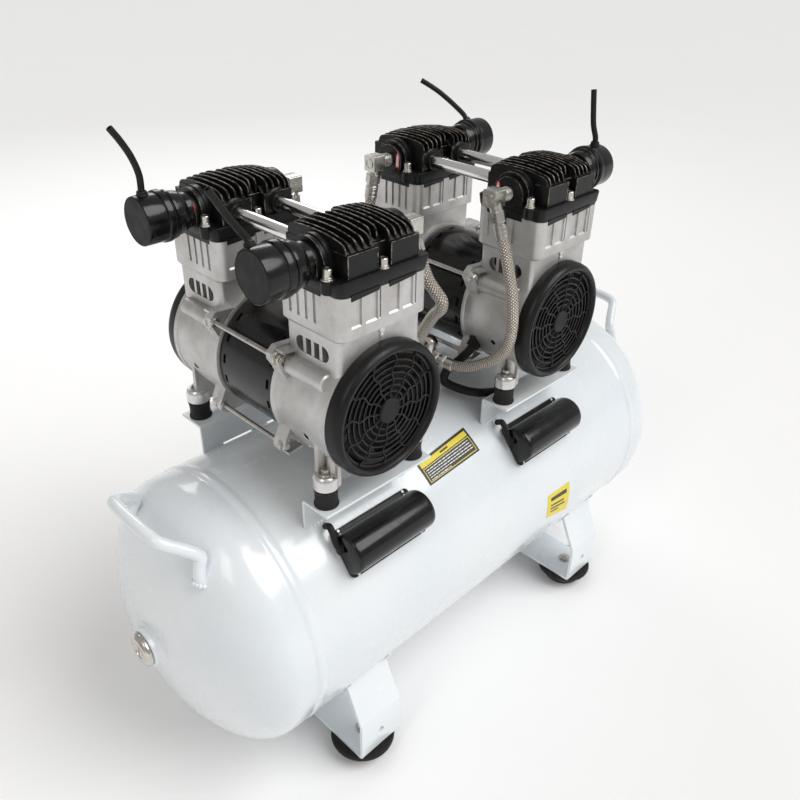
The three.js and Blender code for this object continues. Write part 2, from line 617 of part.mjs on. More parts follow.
const switchFoot = [SWITCH.x, SWITCH.y, 0];
const switchPort = [SWITCH.x, SWITCH.y, PORT_LEVEL];
const leverY = SWITCH.y + SWITCH.block + GAP + LEVER_OUT;
place('pressure_switch', pressureSwitch(), blackPlastic(), switchFoot);
place('switch_knob', switchKnob(), red(), switchFoot);
place('pressure_gauge', pressureGauge(), steel(), switchPort);
place('safety_valve', safetyValve(), brass(), switchPort);
place('outlet_valve', outletValve(), brass(), switchPort);
place('outlet_lever', outletLever(), red(), [SWITCH.x, leverY, PORT_LEVEL], [0, 0, Math.PI / 2]);
place('drain_cock', drainCock(), brass());

for (const [end] of ENDS) {
  const x = UNIT_X[end];
  const shaft = [x, 0, SHAFT_Z];
  for (const [side, signY, turn] of SIDES) {
    place(`${end}_crankcase_${side}`, crankcase(), castAluminium(), shaft, [0, 0, turn]);
    const cylinder = [x, signY * HEAD_Y, SHAFT_Z];
    place(`${end}_head_${side}`, head(), blackPaint(), cylinder, [0, 0, turn]);
    place(`${end}_fan_cover_${side}`, fanCover(), blackPlastic(), shaft, [0, 0, turn]);
    const filterName = `${end}_filter_${side}`;
    const inlet = [x, signY * HEAD_Y, PORT_HEIGHT];
    place(filterName, filter(NIPPLE.turn[filterName]), blackPlastic(), inlet, [0, 0, TURN[end]]);
    for (const [hand, signX] of HANDS) {
      const seat = [x + signX * MOUNT.x, signY * MOUNT.y, 0];
      place(`${end}_mount_${side}_${hand}`, rubberMount(), rubber(), seat);
    }
  }
  place(`${end}_stator`, stator(), blackPaint(), shaft);
  place(`${end}_rotor`, rotor(), steel(), shaft);
  for (const [hand, signX] of HANDS) {
    const pipe = bar([0, -CROSSOVER.end, 0], [0, CROSSOVER.end, 0], CROSSOVER.radius, 12);
    place(`${end}_crossover_${hand}`, pipe, chrome(), [x + signX * CROSSOVER.x, 0, PORT_HEIGHT]);
  }
  place(`${end}_capacitor_box`, capacitorBox(), blackPlastic(), [x, 0, 0], [boxTilt, 0, 0]);
  for (const [side, signY] of SIDES) {
    const inward = end === 'near' ? 1 : -1;
    const elbow = [x + inward * ELBOW_X[end], signY * HEAD_Y, PORT_HEIGHT];
    const hoseName = `${end}_hose_${side}`;
    place(hoseName, hose(x + inward * PORT_BOSS.end, elbow, HOSE_ROUTES[hoseName]), steel());
    const snorkelName = `${end}_snorkel_${side}`;
    place(snorkelName, tube(SNORKEL_ROUTES[snorkelName], SNORKEL_R, 8, 5), rubber());
  }
}

export default compressor;
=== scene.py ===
"""Looks of a two-pump oil-free air compressor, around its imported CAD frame.

Lengths in the shape code are millimetres from the middle of the tank's axis, as in part.mjs.
Row coordinates are metres from the floor under the middle of the whole object.
"""

import math
import random

import bpy
import bmesh
from mathutils import Matrix, Vector


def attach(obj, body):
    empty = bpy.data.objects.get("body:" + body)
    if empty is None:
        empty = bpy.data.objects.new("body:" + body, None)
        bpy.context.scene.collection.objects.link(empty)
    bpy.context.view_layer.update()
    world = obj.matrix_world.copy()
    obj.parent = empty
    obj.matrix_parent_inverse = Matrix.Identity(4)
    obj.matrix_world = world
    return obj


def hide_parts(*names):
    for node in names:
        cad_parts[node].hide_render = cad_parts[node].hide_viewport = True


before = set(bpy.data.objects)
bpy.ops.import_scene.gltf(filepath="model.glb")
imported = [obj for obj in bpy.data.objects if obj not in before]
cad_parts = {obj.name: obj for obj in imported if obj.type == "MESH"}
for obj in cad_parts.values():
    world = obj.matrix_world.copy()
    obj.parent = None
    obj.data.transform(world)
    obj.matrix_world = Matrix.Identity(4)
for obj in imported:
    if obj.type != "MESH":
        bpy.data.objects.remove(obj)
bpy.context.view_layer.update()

# ---- the dimensions that the looks share with the frame -------------------------------------
MM = 0.001
ORIGIN = Vector((0.0069, 0.0, 0.208))      # middle of the tank axis in the row frame
TANK_R, SEAM_X, FLANGE, DISH_DEPTH, DISH_POWER = 150.0, 279.0, 24.0, 72.5, 1.9
END_X = SEAM_X + FLANGE + DISH_DEPTH
UNIT_X = {"near": -172.2, "far": 89.6}
SHAFT_Z, HEAD_Y, PORT_Z = 247.0, 84.3, 143.0
PORT_HEIGHT = SHAFT_Z + PORT_Z
RAIL_Y, RAIL_LIP, RAIL_TOP, RAIL_BOTTOM, RAIL_HALF = 87.2, 33.0, 158.0, 121.0, 69.4
MOUNT_X, MOUNT_Y, MOUNT_R, MOUNT_H = 55.8, 104.2, 11.5, 19.4
DRUM_OUTER = 118.2
NECK_X, NECK_Y, NECK_TOP = 48.2, 34.2, 81.7
BLOCK_X, BLOCK_Y, BLOCK_TOP, BLOCK_CORNER = 50.3, 41.0, 120.4, 9.0
TIE_X, TIE_Z = 62.0, 46.0
HEAD_BOTTOM, HEAD_BASE = 120.7, 133.7
PANEL_X, PANEL_Y, PANEL_TOP, CREST = 38.5, 38.0, 153.4, 168.0
CROSS_X, CROSS_R, CROSS_END = 23.5, 6.5, 43.2
FOOT_X, PAD_X, PAD_Y = 200.0, 202.0, 121.0
STRAP_HALF, STRAP_BOTTOM, STRAP_BEND, STRAP_WIDTH = 150.0, -185.0, -130.0, 58.0
VALVE_X, VALVE_Y, SWITCH_X = 8.0, -12.0, 228.0
NIPPLE_TURN = {"near_filter_front": -30, "near_filter_rear": 0, "far_filter_front": 0, "far_filter_rear": 40}
BOX_TILT = math.radians(50.5)
GAP = 0.3                                  # between neighbouring solids of the frame
ROOT = "compressor"


# ---- camera ---------------------------------------------------------------------------------
CAMERA_PLACE = (-0.58356, -0.55045, 0.83473)
CAMERA_BACK = (-0.608038, -0.593215, 0.527623)     # from what it looks at towards the camera
CAMERA_ROLL = math.radians(1.096)
CAMERA_SENSOR, CAMERA_LENS = 36.0, 35.515


def add_camera():
    back = Vector(CAMERA_BACK)
    level_right = (-back).cross(Vector((0, 0, 1))).normalized()
    level_up = level_right.cross(-back)
    right = level_right * math.cos(CAMERA_ROLL) + level_up * math.sin(CAMERA_ROLL)
    up = level_up * math.cos(CAMERA_ROLL) - level_right * math.sin(CAMERA_ROLL)
    data = bpy.data.cameras.new("camera")
    data.sensor_width = CAMERA_SENSOR
    data.lens = CAMERA_LENS
    camera = bpy.data.objects.new("camera", data)
    bpy.context.collection.objects.link(camera)
    turn = Matrix((right, up, back)).transposed().to_4x4()
    camera.matrix_world = Matrix.Translation(CAMERA_PLACE) @ turn
    bpy.context.scene.camera = camera


# ---- materials ------------------------------------------------------------------------------
class Look:
    """A Principled material whose textures are in metres on the object."""

    def __init__(self, name, color, roughness, metallic=0.0, **fixed):
        self.material = bpy.data.materials.new(name)
        self.material.use_nodes = True
        self.tree = self.material.node_tree
        self.shader = self.tree.nodes["Principled BSDF"]
        self.coords = self.tree.nodes.new("ShaderNodeTexCoord")
        self.shader.inputs["Base Color"].default_value = (*color, 1)
        self.shader.inputs["Roughness"].default_value = roughness
        self.shader.inputs["Metallic"].default_value = metallic
        for socket, value in fixed.items():
            self.shader.inputs[socket.replace("_", " ")].default_value = value

    def link(self, source, target):
        self.tree.links.new(source, target)

    def node(self, kind, output, inputs=None, **settings):
        node = self.tree.nodes.new(kind)
        for key, value in settings.items():
            setattr(node, key, value)
        for socket, value in (inputs or {}).items():
            if isinstance(value, bpy.types.NodeSocket):
                self.link(value, node.inputs[socket])
            else:
                node.inputs[socket].default_value = value
        return node.outputs[output]

    def noise(self, scale, detail=4.0, stretch=None):
        place = self.coords.outputs["Object"]
        if stretch:
            place = self.node("ShaderNodeMapping", "Vector", {"Vector": place, "Scale": stretch})
        return self.node("ShaderNodeTexNoise", "Fac", {"Vector": place, "Scale": scale, "Detail": detail})

    def cells(self, scale):
        place = self.coords.outputs["Object"]
        return self.node("ShaderNodeTexVoronoi", "Distance", {"Vector": place, "Scale": scale})

    def ramp(self, fac, low, high, from_low=0.0, from_high=1.0):
        inputs = {"Value": fac, "From Min": from_low, "From Max": from_high, "To Min": low, "To Max": high}
        return self.node("ShaderNodeMapRange", "Result", inputs)

    def math(self, operation, a, b):
        return self.node("ShaderNodeMath", "Value", {0: a, 1: b}, operation=operation)

    def blend(self, fac, a, b):
        node = self.tree.nodes.new("ShaderNodeMix")
        node.data_type = "RGBA"
        for socket, value in ((node.inputs["Factor"], fac), (node.inputs[6], a), (node.inputs[7], b)):
            if isinstance(value, bpy.types.NodeSocket):
                self.link(value, socket)
            else:
                socket.default_value = value if socket is node.inputs["Factor"] else (*value, 1)
        return node.outputs[2]

    def color(self, value):
        self.link(value, self.shader.inputs["Base Color"])

    def roughness(self, value):
        self.link(value, self.shader.inputs["Roughness"])

    def bump(self, *layers):
        """Each layer is (height, strength, distance in mm); later layers lie on the earlier ones."""
        normal = None
        for height, strength, distance in layers:
            inputs = {"Height": height, "Strength": strength, "Distance": distance * MM}
            if normal:
                inputs["Normal"] = normal
            normal = self.node("ShaderNodeBump", "Normal", inputs)
        self.link(normal, self.shader.inputs["Normal"])


def white_paint():
    look = Look("white_paint", (0.76, 0.80, 0.83), 0.2, Coat_Weight=0.4, Coat_Roughness=0.06)
    cloud = look.ramp(look.noise(9, 3), 0.0, 1.0, 0.35, 0.65)
    look.color(look.blend(cloud, (0.735, 0.785, 0.82), (0.79, 0.825, 0.845)))
    look.roughness(look.ramp(look.noise(60, 5), 0.16, 0.30, 0.3, 0.7))
    look.bump((look.noise(35, 2), 0.10, 1.2), (look.noise(420, 3), 0.05, 0.25))
    return look.material


def cast_aluminium():
    look = Look("cast_aluminium", (0.60, 0.595, 0.585), 0.42, 0.92)
    grain = look.noise(1500, 3)
    stain = look.ramp(look.noise(45, 5), 0.0, 1.0, 0.35, 0.7)
    base = look.blend(stain, (0.52, 0.505, 0.49), (0.66, 0.655, 0.645))
    sparkle = look.ramp(look.cells(1150), 1.0, 0.0, 0.05, 0.35)
    look.color(look.blend(sparkle, base, (0.78, 0.775, 0.765)))
    look.roughness(look.ramp(grain, 0.34, 0.62, 0.3, 0.7))
    look.bump((look.noise(260, 4), 0.18, 0.5), (grain, 0.55, 0.22))
    return look.material


def turned_aluminium():
    look = Look("turned_aluminium", (0.74, 0.735, 0.725), 0.28, 1.0)
    stain = look.noise(80, 4)
    look.color(look.blend(stain, (0.62, 0.61, 0.60), (0.8, 0.795, 0.785)))
    look.roughness(look.ramp(look.noise(900, 3), 0.22, 0.42, 0.3, 0.7))
    look.bump((look.noise(1400, 2), 0.12, 0.1))
    return look.material


def black_paint():
    look = Look("black_paint", (0.008, 0.008, 0.008), 0.33, Specular_IOR_Level=0.28)
    grain = look.noise(1100, 3)
    dust = look.ramp(look.noise(55, 5), 0.0, 0.35, 0.5, 0.75)
    look.color(look.blend(dust, (0.005, 0.005, 0.005), (0.014, 0.012, 0.011)))
    look.roughness(look.ramp(look.noise(140, 5), 0.26, 0.42, 0.3, 0.7))
    look.bump((grain, 0.35, 0.14), (look.noise(190, 3), 0.12, 0.35))
    return look.material


def painted_edge_highlight():
    """Painted highlight for the fins' crests and the panels' edges: lighter metal in blotches over the
    black, standing for light caught on the rounded edges.
    """
    look = Look("painted_edge_highlight", (0.12, 0.115, 0.11), 0.36, 0.55)
    # noise blotches where the painted highlight shows as lighter metal
    highlight_blotches = look.ramp(look.noise(210, 6), 0.0, 1.0, 0.42, 0.60)
    look.color(look.blend(highlight_blotches, (0.022, 0.018, 0.015), (0.26, 0.225, 0.19)))
    look.roughness(look.ramp(look.noise(300, 4), 0.26, 0.46, 0.3, 0.7))
    look.bump((look.noise(1100, 3), 0.3, 0.12))
    return look.material


def black_plastic(name, low, high, coat):
    look = Look(name, (0.006, 0.006, 0.006), low, Coat_Weight=coat, Coat_Roughness=0.08,
                Specular_IOR_Level=0.3)
    look.color(look.blend(look.noise(120, 4), (0.003, 0.003, 0.003), (0.009, 0.008, 0.008)))
    look.roughness(look.ramp(look.noise(90, 5), low, high, 0.3, 0.7))
    look.bump((look.noise(70, 2), 0.08, 0.6), (look.noise(1300, 2), 0.15, 0.08))
    return look.material


def rubber():
    look = Look("rubber", (0.008, 0.008, 0.008), 0.6, Specular_IOR_Level=0.3)
    look.color(look.blend(look.noise(240, 5), (0.004, 0.004, 0.004), (0.016, 0.015, 0.014)))
    look.roughness(look.ramp(look.noise(120, 4), 0.45, 0.72, 0.3, 0.7))
    look.bump((look.noise(1500, 3), 0.3, 0.12))
    return look.material


def chrome():
    look = Look("chrome", (0.80, 0.785, 0.77), 0.1, 1.0)
    streaks = look.noise(1.0, 4, (900, 25, 900))
    look.color(look.blend(look.noise(30, 3), (0.72, 0.70, 0.685), (0.84, 0.83, 0.82)))
    look.roughness(look.ramp(streaks, 0.07, 0.22, 0.3, 0.7))
    look.bump((streaks, 0.05, 0.05))
    return look.material


def plated_steel(name, warm, low, high):
    look = Look(name, warm, low, 1.0)
    tone = look.ramp(look.noise(70, 3), 0.0, 1.0, 0.35, 0.65)
    dark = tuple(value * 0.82 for value in warm)
    look.color(look.blend(tone, dark, warm))
    look.roughness(look.ramp(look.noise(220, 3), low, high, 0.3, 0.7))
    look.bump((look.noise(300, 2), 0.03, 0.06))
    return look.material


def braided_steel():
    """Two sets of flat wires wound both ways round the hose, over a UV map in millimetres."""
    look = Look("braided_steel", (0.58, 0.545, 0.49), 0.3, 1.0)
    waves = []
    for slope in (1.0, -1.0):
        turned = look.node("ShaderNodeMapping", "Vector", {
            "Vector": look.coords.outputs["UV"], "Rotation": (0, 0, slope * math.radians(52))})
        waves.append(look.node("ShaderNodeTexWave", "Fac", {
            "Vector": turned, "Scale": 0.13, "Distortion": 0.4, "Detail": 1.0}))
    wires = look.math("MULTIPLY", waves[0], waves[1])
    look.color(look.blend(look.ramp(wires, 0.0, 1.0, 0.05, 0.6), (0.30, 0.265, 0.22), (0.80, 0.76, 0.69)))
    look.roughness(look.ramp(look.noise(500, 3), 0.24, 0.42, 0.3, 0.7))
    look.bump((wires, 1.0, 0.9))
    return look.material


def red_plastic():
    look = Look("red_plastic", (0.45, 0.02, 0.02), 0.3, Coat_Weight=0.3)
    look.color(look.blend(look.noise(90, 4), (0.36, 0.014, 0.014), (0.52, 0.03, 0.028)))
    look.roughness(look.ramp(look.noise(200, 4), 0.24, 0.42, 0.3, 0.7))
    look.bump((look.noise(900, 2), 0.12, 0.1))
    return look.material


def print_ink(name, color, other):
    look = Look(name, color, 0.35)
    look.color(look.blend(look.noise(400, 4), color, other))
    look.roughness(look.ramp(look.noise(150, 4), 0.28, 0.45, 0.3, 0.7))
    look.bump((look.noise(500, 3), 0.1, 0.08))
    return look.material


def glass():
    look = Look("gauge_glass", (0.95, 0.97, 0.97), 0.04, Transmission_Weight=1.0, IOR=1.45)
    look.roughness(look.ramp(look.noise(120, 3), 0.02, 0.08, 0.3, 0.7))
    look.bump((look.noise(60, 2), 0.04, 0.3))
    return look.material


def floor_paint():
    look = Look("floor_paint", (0.93, 0.93, 0.93), 0.7)
    look.color(look.blend(look.noise(3, 4), (0.92, 0.92, 0.922), (0.94, 0.94, 0.94)))
    return look.material


LOOKS = {
    "paint": white_paint(),
    "cast": cast_aluminium(),
    "turned": turned_aluminium(),
    "black": black_paint(),
    # painted highlight look for the head's crests and edges
    "crest_highlight": painted_edge_highlight(),
    "gloss": black_plastic("gloss_plastic", 0.14, 0.28, 0.15),
    "satin": black_plastic("satin_plastic", 0.30, 0.46, 0.0),
    "matt": black_plastic("matt_plastic", 0.48, 0.62, 0.0),
    "rubber": rubber(),
    "chrome": chrome(),
    "zinc": plated_steel("zinc_plate", (0.62, 0.605, 0.55), 0.22, 0.34),
    "steel": plated_steel("bare_steel", (0.56, 0.53, 0.50), 0.24, 0.4),
    "brass": plated_steel("brass", (0.72, 0.56, 0.30), 0.22, 0.38),
    "nickel": plated_steel("nickel_plate", (0.66, 0.63, 0.58), 0.14, 0.28),
    "braid": braided_steel(),
    "red": red_plastic(),
    "ink_black": print_ink("ink_black", (0.012, 0.012, 0.012), (0.02, 0.02, 0.02)),
    "ink_yellow": print_ink("ink_yellow", (0.78, 0.62, 0.02), (0.84, 0.68, 0.03)),
    "ink_white": print_ink("ink_white", (0.78, 0.78, 0.76), (0.84, 0.84, 0.82)),
    "ink_red": print_ink("ink_red", (0.55, 0.02, 0.03), (0.62, 0.03, 0.04)),
    "glass": glass(),
}


# ---- shapes ---------------------------------------------------------------------------------
AXES = {
    "x": lambda u, v, w: (w, u, v),
    "y": lambda u, v, w: (u, w, v),
    "z": lambda u, v, w: (u, v, w),
}


class Shape:
    """Closed pieces of mesh in millimetres, with a look on each face."""

    def __init__(self):
        self.bm = bmesh.new()
        self.uv = self.bm.loops.layers.uv.new("UVMap")
        self.looks = []

    def number(self, look):
        if look not in self.looks:
            self.looks.append(look)
        return self.looks.index(look)

    def add(self, verts, faces, look, uvs=None, matrix=None):
        made = [self.bm.verts.new(matrix @ Vector(v) if matrix else v) for v in verts]
        number = self.number(look)
        for face in faces:
            polygon = self.bm.faces.new([made[i] for i in face])
            polygon.material_index = number
            polygon.smooth = True
            if uvs:
                for loop, corner in zip(polygon.loops, face):
                    loop[self.uv].uv = uvs[corner]
        return self

    def join(self, other, matrix=None):
        """Copies another shape into this one."""
        table = {v: self.bm.verts.new(matrix @ v.co if matrix else v.co) for v in other.bm.verts}
        for face in other.bm.faces:
            made = self.bm.faces.new([table[v] for v in face.verts])
            made.material_index = self.number(other.looks[face.material_index])
            made.smooth = True
            for loop, source in zip(made.loops, face.loops):
                loop[self.uv].uv = source[other.uv].uv
        return self

    def lathe(self, profile, look, axis="z", sides=48, at=(0, 0, 0), matrix=None):
        """(radius, height) points turned about an axis; a profile that isn't on the axis is closed."""
        verts, rings = [], []
        for radius, height in profile:
            count = 1 if radius < 1e-6 else sides
            rings.append(range(len(verts), len(verts) + count))
            for i in range(count):
                angle = 2 * math.pi * (i + 0.5) / sides
                spot = AXES[axis](radius * math.cos(angle), radius * math.sin(angle), height)
                verts.append(tuple(a + b for a, b in zip(spot, at)))
        pairs = list(zip(rings, rings[1:]))
        if len(rings[0]) > 1 and len(rings[-1]) > 1:
            pairs.append((rings[-1], rings[0]))
        faces = []
        for low, high in pairs:
            for i in range(sides):
                j = (i + 1) % sides
                if len(low) == 1:
                    faces.append((low[0], high[j], high[i]))
                elif len(high) == 1:
                    faces.append((low[i], low[j], high[0]))
                else:
                    faces.append((low[i], low[j], high[j], high[i]))
        return self.add(verts, faces, look, matrix=matrix)

    def prism(self, outline, low, high, look, axis="z", matrix=None):
        """An outline of (across, up) points drawn out along an axis."""
        count = len(outline)
        verts = [AXES[axis](u, v, w) for w in (low, high) for u, v in outline]
        faces = [tuple(range(count))[::-1], tuple(range(count, 2 * count))]
        faces += [(i, (i + 1) % count, count + (i + 1) % count, count + i) for i in range(count)]
        return self.add(verts, faces, look, matrix=matrix)

    def loft(self, levels, look):
        """A solid through outlines of the same count, each at its height: (outline, height)."""
        count = len(levels[0][0])
        verts = [(x, y, z) for outline, z in levels for x, y in outline]
        faces = [tuple(range(count))[::-1], tuple(range(len(verts) - count, len(verts)))]
        faces += [(k * count + i, k * count + (i + 1) % count, (k + 1) * count + (i + 1) % count,
                   (k + 1) * count + i)
                  for k in range(len(levels) - 1) for i in range(count)]
        return self.add(verts, faces, look)

    def block(self, x0, x1, y0, y1, z0, z1, look, matrix=None):
        return self.prism([(x0, y0), (x1, y0), (x1, y1), (x0, y1)], z0, z1, look, matrix=matrix)

    def rod(self, start, end, radius, look, sides=24, end_radius=None, chamfer=0.0):
        """A round or many-sided bar between two points."""
        start, end = Vector(start), Vector(end)
        length = (end - start).length
        last = radius if end_radius is None else end_radius
        turn = Vector((0, 0, 1)).rotation_difference(end - start).to_matrix().to_4x4()
        profile = [(0, 0), (radius - chamfer, 0), (radius, chamfer), (last, length - chamfer),
                   (last - chamfer, length), (0, length)]
        if not chamfer:
            profile = [(0, 0), (radius, 0), (last, length), (0, length)]
        return self.lathe(profile, look, sides=sides, matrix=Matrix.Translation(start) @ turn)

    def tube(self, route, radius, look, sides=20, hollow=0.0):
        """A round tube along points; hollow is the bore's radius at its last end."""
        distances, frames = [0.0], sweep_frames(route)
        for before, point in zip(route, route[1:]):
            distances.append(distances[-1] + (Vector(point) - Vector(before)).length)
        verts, uvs = [], []
        for (centre, across, up), distance in zip(frames, distances):
            for i in range(sides + 1):
                angle = 2 * math.pi * i / sides
                verts.append(tuple(centre + radius * (math.cos(angle) * across + math.sin(angle) * up)))
                uvs.append((radius * angle, distance))
        made = [self.bm.verts.new(v) for i, v in enumerate(verts) if i % (sides + 1) < sides]
        number = self.number(look)
        for k in range(len(route) - 1):
            for i in range(sides):
                j = (i + 1) % sides
                corners = [(k, i, i), (k, i + 1, j), (k + 1, i + 1, j), (k + 1, i, i)]
                face = self.bm.faces.new([made[ring * sides + spot] for ring, _, spot in corners])
                face.material_index = number
                face.smooth = True
                for loop, (ring, flat, _) in zip(face.loops, corners):
                    loop[self.uv].uv = uvs[ring * (sides + 1) + flat]
        self.cap([made[i] for i in range(sides)][::-1], number)
        tip = [made[(len(route) - 1) * sides + i] for i in range(sides)]
        if hollow:
            tip = self.bore(tip, frames[-1][0], frames[-2][0], hollow / radius, number)
        self.cap(tip, number)
        return self

    def bore(self, ring, centre, before, ratio, number):
        """Turns the open end of a tube inward, as a hole a few millimetres deep."""
        inner = [self.bm.verts.new(centre + (v.co - centre) * ratio) for v in ring]
        depth = (before - centre).normalized() * 9.0
        floor = [self.bm.verts.new(v.co + depth) for v in inner]
        for outer_ring, inner_ring in ((ring, inner), (inner, floor)):
            for i in range(len(ring)):
                j = (i + 1) % len(ring)
                face = self.bm.faces.new((outer_ring[i], outer_ring[j], inner_ring[j], inner_ring[i]))
                face.material_index = number
                face.smooth = True
        return floor

    def cap(self, ring, number):
        face = self.bm.faces.new(ring)
        face.material_index = number
        face.smooth = True

    def mesh(self, name):
        mesh = bpy.data.meshes.new(name)
        bmesh.ops.recalc_face_normals(self.bm, faces=self.bm.faces)
        self.bm.to_mesh(mesh)
        for look in self.looks:
            mesh.materials.append(LOOKS[look])
        return mesh

    def carve(self, cutter):
        """Cuts another shape out of this one."""
        objects = []
        for shape in (self, cutter):
            shape_object = bpy.data.objects.new("carving", shape.mesh("carving"))
            bpy.context.collection.objects.link(shape_object)
            objects.append(shape_object)
        whole, tool = objects
        for look in cutter.looks:
            if look not in self.looks:
                self.looks.append(look)
                whole.data.materials.append(LOOKS[look])
        modifier = whole.modifiers.new("carve", "BOOLEAN")
        modifier.object = tool
        modifier.operation = "DIFFERENCE"
        modifier.solver = "EXACT"
        modifier.material_mode = "TRANSFER"
        graph = bpy.context.evaluated_depsgraph_get()
        result = bpy.data.meshes.new_from_object(whole.evaluated_get(graph))
        names = [material.name for material in result.materials]
        self.bm.free()
        self.bm = bmesh.new()
        self.bm.from_mesh(result)
        self.uv = self.bm.loops.layers.uv.verify()
        self.looks = [next(key for key, value in LOOKS.items() if value.name == name) for name in names]
        for shape_object in objects:
            bpy.data.objects.remove(shape_object)
        return self


def sweep_frames(route):
    """A centre and two directions across it for each point of a route, turning as little as possible."""
    points = [Vector(p) for p in route]
    frames = []
    across = None
    for i, point in enumerate(points):
        along = (points[min(i + 1, len(points) - 1)] - points[max(i - 1, 0)]).normalized()
        if across is None:
            start = Vector((0, 0, 1)) if abs(along.z) < 0.9 else Vector((0, 1, 0))
            across = start.cross(along).normalized()
        across = (across - along * across.dot(along)).normalized()
        frames.append((point, across, along.cross(across)))
    return frames


def spline(points, steps):
    """A smooth curve through points, as about steps points for each stretch."""
    ends = [2 * Vector(points[0]) - Vector(points[1])] + [Vector(p) for p in points]
    ends.append(2 * Vector(points[-1]) - Vector(points[-2]))
    route = []
    for p0, p1, p2, p3 in zip(ends, ends[1:], ends[2:], ends[3:]):
        t1 = max((p1 - p0).length, 1e-6) ** 0.5
        t2 = t1 + max((p2 - p1).length, 1e-6) ** 0.5
        t3 = t2 + max((p3 - p2).length, 1e-6) ** 0.5
        for i in range(steps):
            t = t1 + (t2 - t1) * i / steps
            a1 = p0 * ((t1 - t) / t1) + p1 * (t / t1)
            a2 = p1 * ((t2 - t) / (t2 - t1)) + p2 * ((t - t1) / (t2 - t1))
            a3 = p2 * ((t3 - t) / (t3 - t2)) + p3 * ((t - t2) / (t3 - t2))
            b1 = a1 * ((t2 - t) / t2) + a2 * (t / t2)
            b2 = a2 * ((t3 - t) / (t3 - t1)) + a3 * ((t - t1) / (t3 - t1))
            route.append(b1 * ((t2 - t) / (t2 - t1)) + b2 * ((t - t1) / (t2 - t1)))
    return route + [Vector(points[-1])]


def rounded(half_x, half_y, corner, steps=6, centre=(0, 0)):
    outline = []
    for quarter, (sx, sy) in enumerate(((1, 1), (-1, 1), (-1, -1), (1, -1))):
        for i in range(steps + 1):
            angle = (quarter + i / steps) * math.pi / 2
            outline.append((centre[0] + sx * (half_x - corner) + corner * math.cos(angle),
                            centre[1] + sy * (half_y - corner) + corner * math.sin(angle)))
    return outline


def spot(x=0.0, y=0.0, z=0.0, turn=0.0):
    """From a piece's own millimetres to the row frame's metres."""
    place = Matrix.Translation((x, y, z)) @ Matrix.Rotation(turn, 4, "Z")
    return Matrix.Translation(ORIGIN) @ Matrix.Scale(MM, 4) @ place


def piece(name, shape, matrix=None, body=ROOT, replaces=(), bevel=0.0, angle=38):
    """Puts a shape in the scene as a piece that rides on a body. bevel is in millimetres."""
    mesh = shape.mesh(name)
    mesh.transform(matrix or spot())
    mesh.set_sharp_from_angle(angle=math.radians(angle))
    made = bpy.data.objects.new(name, mesh)
    bpy.context.collection.objects.link(made)
    if bevel:
        modifier = made.modifiers.new("bevel", "BEVEL")
        modifier.width = bevel * MM
        modifier.segments = 2
        modifier.limit_method = "ANGLE"
        modifier.angle_limit = math.radians(angle)
        modifier.harden_normals = True
    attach(made, body)
    if replaces:
        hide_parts(*replaces)
    return made


# ---- small fittings -------------------------------------------------------------------------
def socket_screw(shape, x, y, seat, top):
    """Cap screw with a hexagon socket, on a washer, pointing up."""
    shape.lathe([(0, seat), (5.4, seat), (5.4, seat + 1.1), (4.9, seat + 1.4), (0, seat + 1.4)], "zinc",
                sides=28,
                at=(x, y, 0))
    shape.lathe([(0, seat + 1.2), (4.5, seat + 1.2), (4.5, seat + 2.6), (4.1, seat + 2.9), (4.1, top - 0.7),
                 (3.5, top), (2.4, top), (2.4, top - 3.5), (0, top - 3.5)], "zinc", sides=24, at=(x, y, 0))


def hex_bolt(shape, start, end, radius):
    """Hexagon head with a washer under it, from the seat outward."""
    start, end = Vector(start), Vector(end)
    along = (end - start).normalized()
    shape.rod(start, start + along * 1.2, radius * 1.35, "zinc", sides=24, chamfer=0.3)
    shape.rod(start + along * 1.1, end, radius, "zinc", sides=6, chamfer=0.7)
    shape.rod(end - along * 0.1, end + along * 1.6, radius * 0.55, "zinc", sides=16, chamfer=0.4)


def bead(shape, route, radius, seed):
    """A weld bead: a lumpy tube along a line."""
    source = random.Random(seed)
    for centre, _, _ in sweep_frames(route):
        size = radius * (0.85 + 0.3 * source.random())
        ring = [(0, -size), (size * 0.8, -size * 0.6), (size, 0), (size * 0.8, size * 0.6), (0, size)]
        shape.lathe(ring, "paint", sides=10, matrix=Matrix.Translation(centre))


# ---- tank, rails, feet and handles ----------------------------------------------------------
def dish_profile(steps):
    profile = []
    for i in range(steps + 1):
        angle = i / steps * math.pi / 2
        across = TANK_R * math.sin(angle) ** (2 / DISH_POWER)
        profile.append((across if i else 0.0,
                        SEAM_X + FLANGE + DISH_DEPTH * math.cos(angle) ** (2 / DISH_POWER)))
    return profile


def seam_profile():
    """The shell's edge at a weld seam, from the end towards the middle: a low bead beside a fine groove."""
    steps = ((9, 0), (7, -0.35), (5, 0), (3.2, 0.75), (0, 1.15), (-3.2, 0.75), (-5, 0), (-8, -0.25),
             (-11, 0))
    return [(TANK_R + rise, SEAM_X + along) for along, rise in steps]


